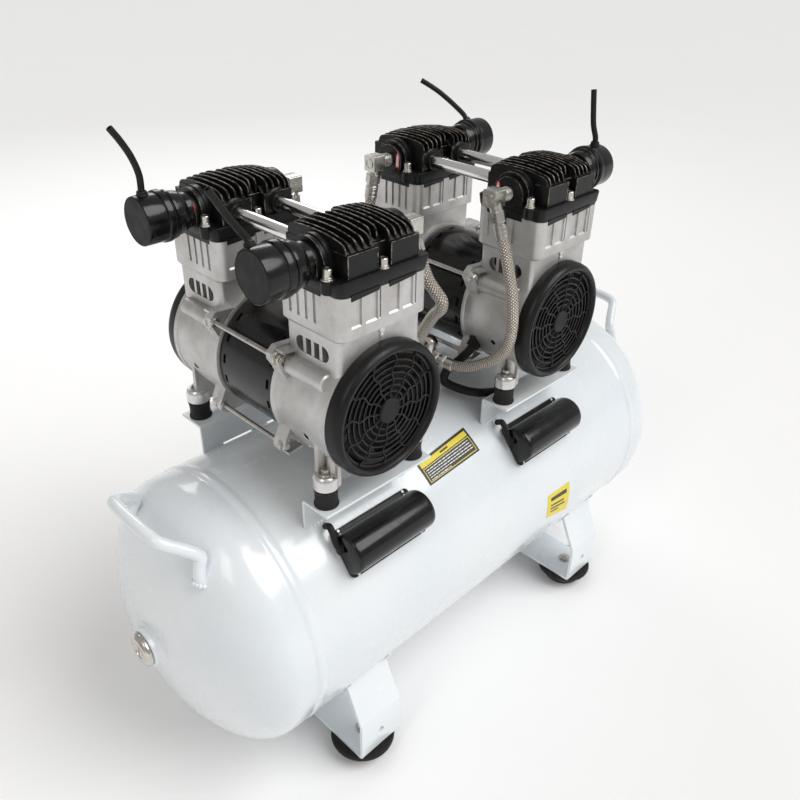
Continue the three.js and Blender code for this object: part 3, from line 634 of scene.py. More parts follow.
def build_tank():
    end = dish_profile(28) + seam_profile()
    shell = Shape()
    shell.lathe(end + [(r, -x) for r, x in reversed(end)], "paint", axis="x", sides=144)
    piece("tank_shell", shell, replaces=["tank"], angle=60)
    for end_name, centre in UNIT_X.items():
        for side_name, side in (("front", -1), ("rear", 1)):
            piece(f"rail_{end_name}_{side_name}", rail(centre, side), bevel=0.7)
    bungs = Shape()
    bungs.lathe([(0, -END_X + 8), (29, -END_X + 8), (27, -END_X + 2.2), (24, -END_X - 0.5), (22, -END_X - 2),
                 (22, -END_X - 6.2), (21, -END_X - 7), (14.3, -END_X - 7), (14.3, -END_X + 6),
                 (0, -END_X + 6)],
                "paint", axis="x", sides=64)
    for x, y, radius, rise in ((VALVE_X, VALVE_Y, 15, 6), (SWITCH_X, 0, 13, 5)):
        bungs.lathe([(0, TANK_R - 6), (radius + 3, TANK_R - 3), (radius, TANK_R + 1.5),
                     (radius, TANK_R + rise - 1),
                     (radius - 1, TANK_R + rise), (0, TANK_R + rise)], "paint", sides=40, at=(x, y, 0))
    bungs.lathe([(0, -TANK_R - 6), (10, -TANK_R - 6), (11, -TANK_R - 5), (11, -TANK_R - 1),
                 (13, -TANK_R + 2),
                 (0, -TANK_R + 2)], "paint", sides=40)
    piece("tank_bungs", bungs)


def rail(centre, side):
    """Folded sheet rail: a slit web on the tank with weld tabs, and a flange for the rubber mounts."""
    bend, sheet = 4.0, 3.0
    outline = [(0, RAIL_BOTTOM - 2), (-sheet, RAIL_BOTTOM - 2), (-sheet, RAIL_TOP - bend)]
    outline += [(bend * (1 - math.cos(a)) - sheet, RAIL_TOP - bend + bend * math.sin(a))
                for a in (math.radians(30), math.radians(60), math.radians(90))]
    outline += [(RAIL_LIP, RAIL_TOP), (RAIL_LIP, RAIL_TOP - sheet), (0.8, RAIL_TOP - sheet),
                (0, RAIL_TOP - sheet - 0.8)]
    low, high = centre - RAIL_HALF, centre + RAIL_HALF
    shape = Shape().prism([(side * (RAIL_Y + u), v) for u, v in outline], low, high, "paint", axis="x")
    slits = Shape()
    for from_x, to_x in ((-45, -6), (6, 45)):
        slits.block(centre + from_x, centre + to_x, side * (RAIL_Y - 9), side * (RAIL_Y + 9),
                    RAIL_BOTTOM - 6, RAIL_BOTTOM + 4.6, "paint")
    shape.carve(slits)
    for x in (-RAIL_HALF + 8, -1, RAIL_HALF - 24):
        base = [(centre + x + step, side * RAIL_Y, RAIL_BOTTOM + 1.2) for step in (0, 4, 8, 12, 16)]
        bead(shape, base, 2.6, seed=int(x) + 200)
    return shape


def strap_outline():
    """The folded strap across the tank, as seen from its end: outside, then inside."""
    half, bottom, bend, sheet = STRAP_HALF, STRAP_BOTTOM, STRAP_BEND, 4.0
    outer = [(half - 28, bend + 60), (half - 1.2, bend + 2.6), (half, bend), (half, bottom + 5)]
    outer += [(half - 5 + 5 * math.cos(a), bottom + 5 - 5 * math.sin(a)) for a in (0.5, 1.05, 1.57)]
    inner = [(half - 5, bottom + sheet), (half - sheet, bottom + 5), (half - sheet, bend - 1),
             (half - 28 - sheet, bend + 58)]
    mirror = [(-y, z) for y, z in reversed(outer)]
    return outer + mirror + [(-y, z) for y, z in reversed(inner)] + inner


def build_foot(end_name, side):
    strap = Shape().prism(strap_outline(), -STRAP_WIDTH / 2, STRAP_WIDTH / 2, "paint", axis="x")
    room = Shape().lathe([(0, -60), (TANK_R - 0.4, -60), (TANK_R - 0.4, 60), (0, 60)], "paint", axis="x",
                         sides=144)
    room.rod((0, -STRAP_HALF - 9, STRAP_BOTTOM + 28), (0, STRAP_HALF + 9, STRAP_BOTTOM + 28), 4, "paint")
    strap.carve(room)
    for y_side in (-1, 1):
        hex_bolt(strap, (PAD_X - FOOT_X, y_side * PAD_Y, STRAP_BOTTOM + 4),
                 (PAD_X - FOOT_X, y_side * PAD_Y, STRAP_BOTTOM + 9), 6.5)
        for x in (-STRAP_WIDTH / 2 + 1, STRAP_WIDTH / 2 - 1):
            weld = [(x, y_side * TANK_R * math.cos(a), -TANK_R * math.sin(a))
                    for a in [math.radians(28 + 2.2 * i) for i in range(9)]]
            bead(strap, weld, 2.2, seed=int(x) + 90)
    turn = 0 if side > 0 else math.pi
    piece(f"strap_foot_{end_name}", strap, spot(side * FOOT_X, turn=turn),
          replaces=[f"foot_{end_name}"], bevel=0.6)


def build_pad(end_name, side_name, x, y):
    top = STRAP_BOTTOM - GAP
    pad = Shape().lathe([(0, -196), (8.5, -196), (9, -197), (9, -207.3), (9.7, -208), (23.8, -208),
                         (25.2, -207),
                         (27, -203), (33, -195), (36.4, -191.5), (37, -189.5), (36.6, top - 1), (35.6, top),
                         (0, top)], "rubber", sides=64)
    pad.rod((0, 0, -199), (0, 0, -195.5), 7, "zinc", sides=6, chamfer=0.6)
    piece(f"pad_{end_name}_{side_name}", pad, spot(x, y),
          replaces=[f"rubber_foot_{end_name}_{side_name}"])


def build_handle(end_name, side):
    half = [(-340, 60, 100), (-343, 60.5, 109), (-341, 59, 121), (-337.5, 57, 130), (-341, 54.5, 135),
            (-351.5, 48.5, 143.5), (-362, 43, 151), (-367, 36, 155)]
    route = spline(half + [(x, -y, z) for x, y, z in reversed(half)], 7)
    shape = Shape().tube(route, 6.0, "paint", sides=28)
    for y_side in (-1, 1):
        collar = [(-341.5 + 7.6 * math.cos(a), y_side * 60.3 + 7.0 * math.sin(a), 103.5 - 4.8 * math.cos(a))
                  for a in [i * math.pi / 7 for i in range(15)]]
        bead(shape, collar, 2.3, seed=31)
    piece(f"lift_handle_{end_name}", shape, spot(turn=0 if side < 0 else math.pi),
          replaces=[f"handle_{end_name}"], angle=60)


def build_end_plug():
    face = -END_X - 7.3
    plug = Shape().lathe([(0, face + 14), (13, face + 14), (13, face), (18, face), (18.2, face - 0.6),
                          (18.2, face - 3.4), (17.6, face - 4.2), (15.2, face - 6.4), (9.2, face - 6.4),
                          (8.6, face - 5.4), (5.6, face - 4.6), (5.2, face - 6.0), (0, face - 6.2)],
                         "nickel", axis="x", sides=72)
    slot_cut = Shape().block(face - 9, face - 5.2, -1.1, 1.1, -4.2, 4.2, "nickel")
    piece("nickel_plug", plug.carve(slot_cut), replaces=["end_plug"], bevel=0.15)


# ---- pump unit ------------------------------------------------------------------------------
def crank_drum():
    """Crankcase drum with its bright front lip and the motor's end bell behind it."""
    drum = Shape()
    drum.lathe([(63.2, -42.0), (66.0, -42.6), (66.0, -45.4), (64.4, -46.4), (63.6, -50), (63.8, -61),
                (65.2, -63.4), (65.2, -113.2), (66.4, -114.2), (66.5, -118.2), (60.8, -118.2), (60.8, -51),
                (10.4, -51), (10.4, -43), (58, -43), (60, -42.2)], "cast", axis="y", sides=112)
    return drum


def neck_and_block():
    neck = Shape().prism(rounded(NECK_X, NECK_Y, 5, centre=(0, -HEAD_Y)), 20, NECK_TOP + 2, "cast")
    skin = rounded(BLOCK_X, BLOCK_Y, BLOCK_CORNER, centre=(0, -HEAD_Y))
    base = rounded(NECK_X + 0.2, NECK_Y + 1.2, 6, centre=(0, -HEAD_Y))
    block = Shape().loft([(base, NECK_TOP - 2.5), (skin, NECK_TOP + 0.6), (skin, BLOCK_TOP)], "cast")
    return neck, block


def notch_shade_tabs(shape, look, slack):
    """Tabs the shape of the notches in the block's top between its corners and middle columns: the head
    carries them in black as painted shade filling the shaded notches, and the block is cut by them.
    """
    for side in (-1, 1):
        for low, high, low_z, high_z in ((-39.6, -9.2, 116.4, 118.2), (2.6, 32.6, 117.2, 119.4)):
            outline = [(low + slack, low_z + slack), (high - slack, high_z + slack),
                       (high - slack + 1.4, 122),
                       (low + slack, 122)]
            near, far = sorted((side * (BLOCK_Y - 1.7 + slack), side * (BLOCK_Y + 0.6)))
            shape.prism([(side * -x, z) for x, z in outline], near, far, look, axis="y")
        near, far = sorted((side * (BLOCK_X - 1.7 + slack), side * (BLOCK_X + 0.6)))
        shape.block(near, far, -16.4 + slack, 28 - slack, 116.6 + slack, 122, look)


def block_recesses():
    """Flutes on the block's sides and ribbed bays on its faces, open at the top."""
    cuts = Shape()
    for side in (-1, 1):
        face = side * BLOCK_X
        for y in (-7.8, 2.8, 13.4, 24.0):
            outline = [(face - side * 1.9, 92), (face + side * 2, 87.5), (face + side * 2, 132),
                       (face - side * 1.9, 132)]
            cuts.prism(outline, y - 1.7 - HEAD_Y, y + 1.7 - HEAD_Y, "cast", axis="y")
        front = -HEAD_Y + side * BLOCK_Y
        bays = ((-39.6, -28.2), (-23.6, -10.4), (-8.4, -6.8), (2.6, 14.6), (18.9, 31.0), (33.2, 34.8))
        for low, high in bays:
            low, high = sorted((-side * low, -side * high))
            outline = [(front - side * 1.6, 93.6), (front + side * 2, 90), (front + side * 2, 132),
                       (front - side * 1.6, 132)]
            cuts.prism(outline, low, high, "cast", axis="x")
    # the notches in the block's top, which the head's black tabs fill as painted shade
    rim = Shape()
    notch_shade_tabs(rim, "cast", 0.0)
    return cuts, rim


def stadium(centre_u, centre_v, half_length, radius, steps=10):
    outline = []
    for side in (1, -1):
        for i in range(steps + 1):
            angle = side * math.pi / 2 - math.pi * i / steps
            outline.append((centre_u + side * (half_length - radius) + radius * math.cos(angle),
                            centre_v + radius * math.sin(angle)))
    return outline


def neck_windows(shape):
    """The barred breather window on both sides of the neck."""
    cuts, bars = Shape(), Shape()
    for side in (-1, 1):
        face = side * NECK_X
        cuts.prism(stadium(-HEAD_Y, 62.5, 21.5, 7.6), min(face - side * 7, face + side * 3),
                   max(face - side * 7, face + side * 3), "cast", axis="x")
        for step in (-1, 0, 1):
            y = -HEAD_Y + step * 10.6
            bars.block(face - side * 7.5, face - side * 0.5, y - 1.9, y + 1.9, 53, 72, "cast")
        # matt black plate at the window's floor: painted shade standing for the casing's dark inside
        bars.prism(stadium(-HEAD_Y, 62.5, 20.4, 6.9), min(face - side * 6.6, face - side * 7.2),
                   max(face - side * 6.6, face - side * 7.2), "matt", axis="x")
    shape.carve(cuts)
    shape.join(bars)


def casting_lug(shape, side_x, side_z):
    """Triangular ear for a tie rod, with its web and the rod's bolt head."""
    corners = [(38, 54), (60, 56), (66.5, 50.5), (67, 44), (63.5, 38), (55, 20), (48, 30)]
    outline = [(side_x * x, side_z * z) for x, z in corners]
    shape.prism(outline, -50.5, -43, "cast", axis="y")
    web = [(side_x * x, side_z * z) for x, z in ((46, 53), (62, 55), (62, 52.2), (46, 50))]
    shape.prism(web, -60, -50, "cast", axis="y")
    web = [(side_x * x, side_z * z) for x, z in ((66, 46), (64, 38), (58, 26), (56, 28), (61.5, 39),
                                                 (63.4, 46))]
    shape.prism(web, -59, -50, "cast", axis="y")
    shape.rod((side_x * TIE_X, -50, side_z * TIE_Z), (side_x * TIE_X, -53, side_z * TIE_Z), 6.6, "cast",
              chamfer=0.6)
    hex_bolt(shape, (side_x * TIE_X, -53, side_z * TIE_Z), (side_x * TIE_X, -57.5, side_z * TIE_Z), 4.6)


def casting_foot(shape, side):
    """Cup on a rubber mount, its screw, and the post and wall that carry the drum."""
    low = RAIL_TOP - SHAFT_Z + MOUNT_H + 0.6
    x = side * MOUNT_X
    shape.lathe([(0, low), (11.4, low), (12.2, low + 0.8), (12.0, low + 10), (11.2, low + 13),
                 (9.4, low + 14.6),
                 (0, low + 14.6)], "turned", sides=48, at=(x, -MOUNT_Y, 0))
    shape.rod((x, -MOUNT_Y, low + 14.4), (x, -MOUNT_Y, low + 15.6), 6.4, "zinc", chamfer=0.3)
    shape.rod((x, -MOUNT_Y, low + 15.4), (x, -MOUNT_Y, low + 20.0), 4.2, "zinc", sides=6, chamfer=0.6)
    outline = [(side * 35, low + 1.5), (side * 60, low + 1.5), (side * 61.5, low + 9), (side * 60.5, -24),
               (side * 40, -44)]
    shape.prism(outline, -MOUNT_Y + 3.4, -MOUNT_Y + 8.2, "cast", axis="y")
    shape.block(side * 46.5, side * 50.5, -MOUNT_Y - 11, -MOUNT_Y + 8, low + 2, -38, "cast")
    shape.rod((side * 47.6, -MOUNT_Y - 2, low + 1), (side * 47.6, -MOUNT_Y - 2, -36), 6.2, "cast", sides=32,
              chamfer=0.8)


def build_crankcase():
    """The front crankcase and cylinder casting, about its unit's shaft."""
    drum = crank_drum()
    neck, block = neck_and_block()
    inside = Shape().lathe([(0, -51.5), (60.9, -51.5), (60.9, -130), (0, -130)], "cast", axis="y", sides=112)
    bore = Shape().rod((0, -HEAD_Y, 10), (0, -HEAD_Y, 140), 30, "turned", sides=56)
    neck.carve(inside)
    neck.carve(bore)
    recesses, rim = block_recesses()
    block.carve(recesses)
    block.carve(Shape().join(rim, Matrix.Translation((0, -HEAD_Y, 0))))
    block.carve(bore)
    neck_windows(neck)
    casting = drum.join(neck).join(block)
    for side in (-1, 1):
        casting.rod((side * 51.4, -52, 38.5), (side * 51.4, -108, 38.5), 9.6, "cast", sides=40,
                    end_radius=9.0, chamfer=1.5)
        casting.rod((side * 51.4, -44, 38.5), (side * 51.4, -56, 38.5), 11.4, "cast", sides=40, chamfer=1.2)
        for side_z in (-1, 1):
            casting_lug(casting, side, side_z)
        casting_foot(casting, side)
        for degrees, y, radius in ((17, -88, 3.3), (46, -106, 1.8), (41, -76, 2.6)):
            direction = Vector((side * math.cos(math.radians(degrees)), 0, -math.sin(math.radians(degrees))))
            seat = direction * 65.15 + Vector((0, y, 0))
            casting.rod(seat - direction * 2, seat + direction * 0.12, radius, "matt", sides=24)
            casting.lathe([(radius, -0.6), (radius + 0.9, -0.6), (radius + 0.7, 0.5), (radius, 0.3)],
                          "turned", sides=24,
                          matrix=Matrix.Translation(seat) @ Vector((0, 0, 1)).rotation_difference(
                              direction).to_matrix().to_4x4())
    casting.block(-2.1, 2.1, -119.4, -117, 67.5, 84, "cast")
    for radius, z in ((3.1, 77), (2.2, 71.5)):
        casting.rod((0, -118.2, z), (0, -120.3, z), radius, "turned", sides=24, chamfer=0.4)
    return casting


FIN_X = (-38.0, *(-33.6 + 7.02 * k for k in range(11)))
POCKET_X = 7.6
FIN_TOP = ((36.5, -9), (35.6, -5.2), (33, -3), (28, -1.2), (18, -0.3), (4, 0), (-6, -0.3), (-12, -0.8),
           (-20, -2.0),
           (-27, -3.3), (-31, -4.7), (-32.8, -6.6), (-33.6, -8.4), (-34.8, -12))
POCKET_TOP = ((29, -9), (28.5, -4.5), (26.5, -1.8), (18, -0.3), (4, 0), (-6, -0.3), (-16, -1.0),
              (-23.4, -2.6),
              (-25.6, -4.4), (-26.4, -6.4), (-27, -11))


def fin_top(x):
    """Top line of the fin at x; the fins over the middle screws are shorter."""
    crest = CREST - 3.2 * (x / PANEL_X) ** 2
    table = POCKET_TOP if abs(x) < POCKET_X else FIN_TOP
    return [(y, crest + rise) for y, rise in table]


def head_core(head):
    """Upright panels with a pocket for each middle screw, and the roots of the fins above them."""
    low = HEAD_BASE - 1
    for from_x, to_x, wall in ((-39.4, -POCKET_X, PANEL_Y), (POCKET_X, 39.4, PANEL_Y),
                               (-8.2, 8.2, PANEL_Y - 7.4)):
        head.prism([(-wall, low), (wall, low), (wall, PANEL_TOP), (-wall, PANEL_TOP)], from_x, to_x, "black",
                   axis="x")
        foot, top = wall - 2.4, CREST - 9
        inset = 1.2 * math.copysign(1, to_x) if wall == PANEL_Y else 0
        left, right = (from_x + 1.2, to_x) if inset < 0 else (from_x, to_x - inset)
        head.prism([(-foot, PANEL_TOP - 1), (foot, PANEL_TOP - 1), (foot - 6.5, top), (6.5 - foot, top)],
                   left, right,
                   "black", axis="x")


def port_boss(head, side):
    """Round port on the head's end, behind arched ribs that step down to the base."""
    head.rod((side * 36, 0, PORT_Z), (side * 54.2, 0, PORT_Z), 14, "black", sides=48, chamfer=0.5)
    head.rod((side * 50, 0, PORT_Z), (side * 59.5, 0, PORT_Z), 6.5, "black", sides=32)
    for near, far, radius in ((38, 44.4, 22.6), (44.2, 49.4, 21.5), (49.2, 54.0, 17.6)):
        arch = [(radius * math.cos(math.pi * i / 28), PORT_Z - 2 + radius * math.sin(math.pi * i / 28))
                for i in range(29)]
        arch += [(-radius, HEAD_BASE - 1), (radius, HEAD_BASE - 1)]
        head.prism(arch, *sorted((side * near, side * far)), "black", axis="x")
    # thin tubes in the painted highlight look along the arched ribs' edges
    for x, radius in ((49.3, 21.5), (53.9, 17.6)):
        route = [(side * x, radius * math.cos(math.pi * i / 28),
                  PORT_Z - 2 + radius * math.sin(math.pi * i / 28))
                 for i in range(29)]
        head.tube([(side * x, radius, HEAD_BASE + 1)] + route + [(side * x, -radius, HEAD_BASE + 1)], 0.3,
                  "crest_highlight", sides=6)


def build_head():
    """Cylinder head with its valve plate, fins, ports and screws, about the cylinder's axis."""
    head = Shape()
    head.loft([(rounded(50.6, 40.6, 9), HEAD_BOTTOM), (rounded(51.4, 41.2, 8), HEAD_BOTTOM + 3),
               (rounded(51.5, 41.2, 5), HEAD_BASE - 1.2), (rounded(50.9, 40.6, 4.4), HEAD_BASE)], "black")
    # black tabs hanging into the block's notches: painted shade for the shaded notches
    notch_shade_tabs(head, "black", 0.12)
    head_core(head)
    for x in FIN_X:
        top = fin_top(x)
        low = PANEL_TOP - 0.6
        head.prism([(top[-1][0] + 0.4, low), (top[0][0], low), *top], x - 1.0, x + 1.0, "black", axis="x")
        # thin tube on the fin's crest in the painted highlight look
        head.tube([(x, y, z - 0.15) for y, z in top], 0.62, "crest_highlight", sides=8)
    for side in (-1, 1):
        port_boss(head, side)
        front = side * (PANEL_Y - 0.1)
        # thin tubes in the painted highlight look along the panels' upright and top edges and the pockets'
        # edges
        for x in (-39.3, -POCKET_X, POCKET_X, 39.3):
            head.tube([(x, front, HEAD_BASE + 0.6), (x, front, PANEL_TOP - 0.2)], 0.55, "crest_highlight", sides=8)
        for low, high in ((-39.3, -POCKET_X), (POCKET_X, 39.3)):
            head.tube([(low, front, PANEL_TOP - 0.15), (high, front, PANEL_TOP - 0.15)], 0.28, "crest_highlight",
                      sides=6)
        head.tube([(-POCKET_X, side * 30.7, PANEL_TOP - 0.1), (POCKET_X, side * 30.7, PANEL_TOP - 0.1)], 0.5,
                  "crest_highlight",
                  sides=6)
        head.tube([(side * 39.3, -37.6, PANEL_TOP - 0.15), (side * 39.3, -20, PANEL_TOP - 0.15)], 0.28,
                  "crest_highlight", sides=6)
        for x in (-49.3, 49.3):
            head.rod((x, side * 24.6, HEAD_BOTTOM + 1), (x, side * 24.6, HEAD_BASE - 0.1), 6.2, "black",
                     sides=40,
                     chamfer=0.8)
            socket_screw(head, x, side * 24.6, HEAD_BASE - 0.3, 143.0)
        socket_screw(head, 0, side * 36.0, HEAD_BASE - 0.1, 142.2)
        collar_end = HEAD_Y - CROSS_END
        head.lathe([(7, 30), (13.4, 30), (13.4, collar_end - 4.6), (12.2, collar_end - 3.4),
                    (10.2, collar_end - 3),
                    (9.6, collar_end), (6.9, collar_end)], "black", axis="y", sides=40,
                   at=(side * CROSS_X, 0, PORT_Z))
    return head


def build_arrow(name, x, y, lean):
    """Small red and white flow arrow on the flat face around a port, facing the near end."""
    sticker = Shape()
    for look, inset, lift in (("ink_red", 0.0, 0.25), ("ink_white", 0.95, 0.4)):
        half, low, high = 2.7 - inset, -9.3 + inset * 1.4, 9.3 - inset * 1.8
        outline = [(-half, low), (0, low + 1.9), (half, low), (half, 4.4 - inset),
                   (half + 0.6 - inset, 4.2 - inset),
                   (0, high), (-half - 0.6 + inset, 4.2 - inset), (-half, 4.4 - inset)]
        sticker.prism(outline, -lift, 0.1, look, axis="x")
    place = spot(x, y, PORT_HEIGHT + 1.2) @ Matrix.Rotation(math.radians(lean), 4, "X")
    piece(name, sticker, place)


def build_fan_cover():
    back, front = DRUM_OUTER + GAP, 134.2
    cover = Shape()
    cover.lathe([(62.4, -back), (66, -back), (66, -front + 8), (65.2, -front + 4), (63.4, -front + 1.3),
                 (60.8, -front), (58.6, -front + 0.4), (57.4, -front + 1.8), (56.6, -front + 5.4),
                 (54.6, -front + 6),
                 (54.6, -front + 8.2), (60, -front + 9), (62.4, -front + 11)], "satin", axis="y", sides=112)
    cover.lathe([(0, -front + 3.2), (11.6, -front + 3.2), (12.6, -front + 4.2), (12.6, -front + 7.2),
                 (0, -front + 7.2)], "matt", axis="y", sides=48)
    for radius in (18.6, 24.6, 30.6, 36.6, 42.6, 48.6):
        dish = -front + 5.2
        cover.lathe([(radius - 0.9, dish), (radius + 0.9, dish), (radius + 0.75, dish + 2.4),
                     (radius - 0.75, dish + 2.4)],
                    "satin", axis="y", sides=88)
    for i in range(12):
        angle = (i + 0.25) * math.pi / 6
        route = []
        for k in range(12):
            radius = 11.5 + k * 4.1
            bend = angle + 0.055 * math.sin(k * 1.25 + i * 1.7)
            route.append((radius * math.cos(bend), -front + 5.4, -radius * math.sin(bend)))
        cover.tube(route, 1.05, "satin", sides=8)
    return cover


def build_fan():
    """Impeller behind the front fan cover."""
    front, depth, blades = 126.0, 15.0, 7
    fan = Shape()
    fan.lathe([(0, -front), (13, -front), (15, -front + 1.5), (15, -front + depth), (0, -front + depth)],
              "satin",
              axis="y", sides=48)
    fan.lathe([(0, -front - 2.6), (5, -front - 2.6), (5.6, -front - 2), (5.6, -front + 1), (0, -front + 1)],
              "steel",
              axis="y", sides=6)
    for i in range(blades):
        angle = (i - 0.25) * 2 * math.pi / blades
        verts = []
        for k in range(9):
            radius = 13 + k * (55.5 - 13) / 8
            chord = 9 + 4.5 * math.sin(k / 8 * math.pi * 0.8)
            pitch = 0.85 - 0.35 * k / 8
            sweep = angle - 0.22 * (k / 8) ** 2
            for along, lift in ((-1, 0.9), (1, 0.9), (1, -0.9), (-1, -0.9)):
                u = along * chord * math.cos(pitch) - lift * math.sin(pitch)
                w = along * chord * 0.62 * math.sin(pitch) + lift * math.cos(pitch)
                verts.append((radius * math.cos(sweep) - u * math.sin(sweep), -front + depth / 2 + w,
                              -radius * math.sin(sweep) - u * math.cos(sweep)))
        faces = [(0, 1, 2, 3), (32, 35, 34, 33)]
        faces += [(4 * k + i4, 4 * k + (i4 + 1) % 4, 4 * k + 4 + (i4 + 1) % 4, 4 * k + 4 + i4)
                  for k in range(8) for i4 in range(4)]
        fan.add(verts, faces, "satin")
    return fan


def build_rotor():
    """Shaft, laminated core with its end rings, and the crank throws."""
    rotor = Shape()
    rotor.lathe([(0, -126.5), (7.4, -126.5), (8, -126), (8, 126), (7.4, 126.5), (0, 126.5)], "steel",
                axis="y", sides=32)
    rotor.lathe([(8, -32), (38, -32), (38.5, -31), (38.5, 31), (38, 32), (8, 32)], "steel", axis="y",
                sides=64)
    for side in (-1, 1):
        low, high = sorted((side * (HEAD_Y - 7), side * (HEAD_Y + 7)))
        rotor.lathe([(0, low), (18, low), (19, low + 1), (19, high - 1), (18, high), (0, high)], "steel",
                    axis="y", sides=40, at=(0, 0, side * 7))
    return rotor


def build_shell():
    """Motor sleeve with its cooling slots, and the windings' sleeve inside it."""
    shell = Shape().lathe([(60.6, -42), (63, -42), (63, 42), (60.6, 42)], "gloss", axis="y", sides=112)
    slots = Shape()
    for i in range(18):
        angle = (i + 0.5) * math.pi / 9
        for y in (-33.5, 33.5):
            turn = Matrix.Rotation(angle, 4, "Y")
            slots.block(56, 68, y - 1.9, y + 1.9, -4.6, 4.6, "matt", matrix=turn)
    shell.carve(slots)
    shell.lathe([(40, -38), (60.3, -40), (60.3, 40), (40, 38)], "matt", axis="y", sides=64)
    return shell


def build_tie_rods():
    rods = Shape()
    for x in (-TIE_X, TIE_X):
        for z in (-TIE_Z, TIE_Z):
            rods.rod((x, -51, z), (x, 51, z), 2.3, "steel", sides=20)
            for side in (-1, 1):
                rods.lathe([(2.2, side * 42.8), (4.4, side * 42.8), (4.0, side * 41.4), (2.2, side * 41.4)],
                           "zinc",
                           axis="y", sides=24, at=(x, 0, z))
    return rods


def build_crossover():
    profile = [(0, -CROSS_END), (CROSS_R, -CROSS_END), (CROSS_R, CROSS_END), (0, CROSS_END)]
    return Shape().lathe(profile, "chrome", axis="y", sides=48)


def build_filter(nipple_turn):
    """Intake silencer on a port at its +X side, about the port's axis."""
    cup = Shape()
    cup.lathe([(0, -102.2), (20.6, -102.2), (21.2, -103), (22, -102.4), (22.3, -101), (22.3, -85.5),
               (22.0, -83.2),
               (23.4, -82.4), (23.7, -81), (23.7, -77.6), (22.6, -76.6), (21.4, -76.2), (21.2, -74.6),
               (22.2, -73.8),
               (22.2, -71.6), (20.6, -70.6), (20.2, -66), (19.4, -61.6), (18.4, -60.3), (16.6, -60.0),
               (16.6, -54.5),
               (0, -54.5)], "gloss", axis="x", sides=80)
    cup.lathe([(0, -102.15), (20.7, -102.15), (20.7, -102.75), (0, -102.75)], "matt", axis="x", sides=72)
    nipple = Shape().lathe([(2.4, 19), (5.4, 19), (5.4, 22.6), (4.8, 23.2), (4.6, 25.4), (4.0, 26.0),
                            (2.4, 26.0)],
                           "rubber", sides=32, at=(-94, 0, 0))
    cup.join(nipple, Matrix.Rotation(math.radians(nipple_turn), 4, "X"))
    return cup


def build_mount():
    low = RAIL_TOP + GAP
    high = low + MOUNT_H
    mount = Shape().lathe([(0, low), (MOUNT_R + 0.3, low), (MOUNT_R + 0.5, low + 1.2),
                           (MOUNT_R - 0.3, low + 2.4),
                           (MOUNT_R - 0.8, (low + high) / 2), (MOUNT_R - 0.3, high - 2.4),
                           (MOUNT_R + 0.4, high - 1.2),
                           (MOUNT_R + 0.2, high), (0, high)], "rubber", sides=48)
    return mount


def build_capacitor_box():
    """Half-round box on a screwed flange; X along the tank, Z away from it."""
    seat, half, spring = 150.6, 21.0, 162.0
    low, high = -51.0, 53.0
    section = [(-half, seat + 2.6), (-half, spring)]
    section += [(half * math.cos(math.pi - math.pi * i / 24), spring + half * math.sin(math.pi * i / 24))
                for i in range(1, 24)]
    section += [(half, spring), (half, seat + 2.6)]
    centre = (0.0, spring - 3)
    verts, rings = [], []
    for x, scale in ((low, 0.90), (low + 0.8, 0.955), (low + 2.6, 0.988), (low + 5.5, 1.0),
                     (high - 5.5, 1.0), (high - 2.6, 0.988), (high - 0.8, 0.955), (high, 0.90)):
        rings.append(range(len(verts), len(verts) + len(section)))
        for u, v in section:
            lift = v if v <= seat + 2.7 else centre[1] + (v - centre[1]) * scale
            verts.append((x, u * scale, lift))
    count = len(section)
    faces = [tuple(rings[0])[::-1], tuple(rings[-1])]
    faces += [(a[i], a[(i + 1) % count], b[(i + 1) % count], b[i])
              for a, b in zip(rings, rings[1:]) for i in range(count)]
    box = Shape().add(verts, faces, "gloss")
    plate = rounded((high - low) / 2, 25, 5, centre=((low + high) / 2, 0))
    box.prism(plate, seat, seat + 2.7, "gloss")
    for x in (low + 8, high - 8):
        for y in (-23, 23):
            box.rod((x, y, seat + 2.5), (x, y, seat + 4.2), 1.9, "zinc", chamfer=0.5)
    return box


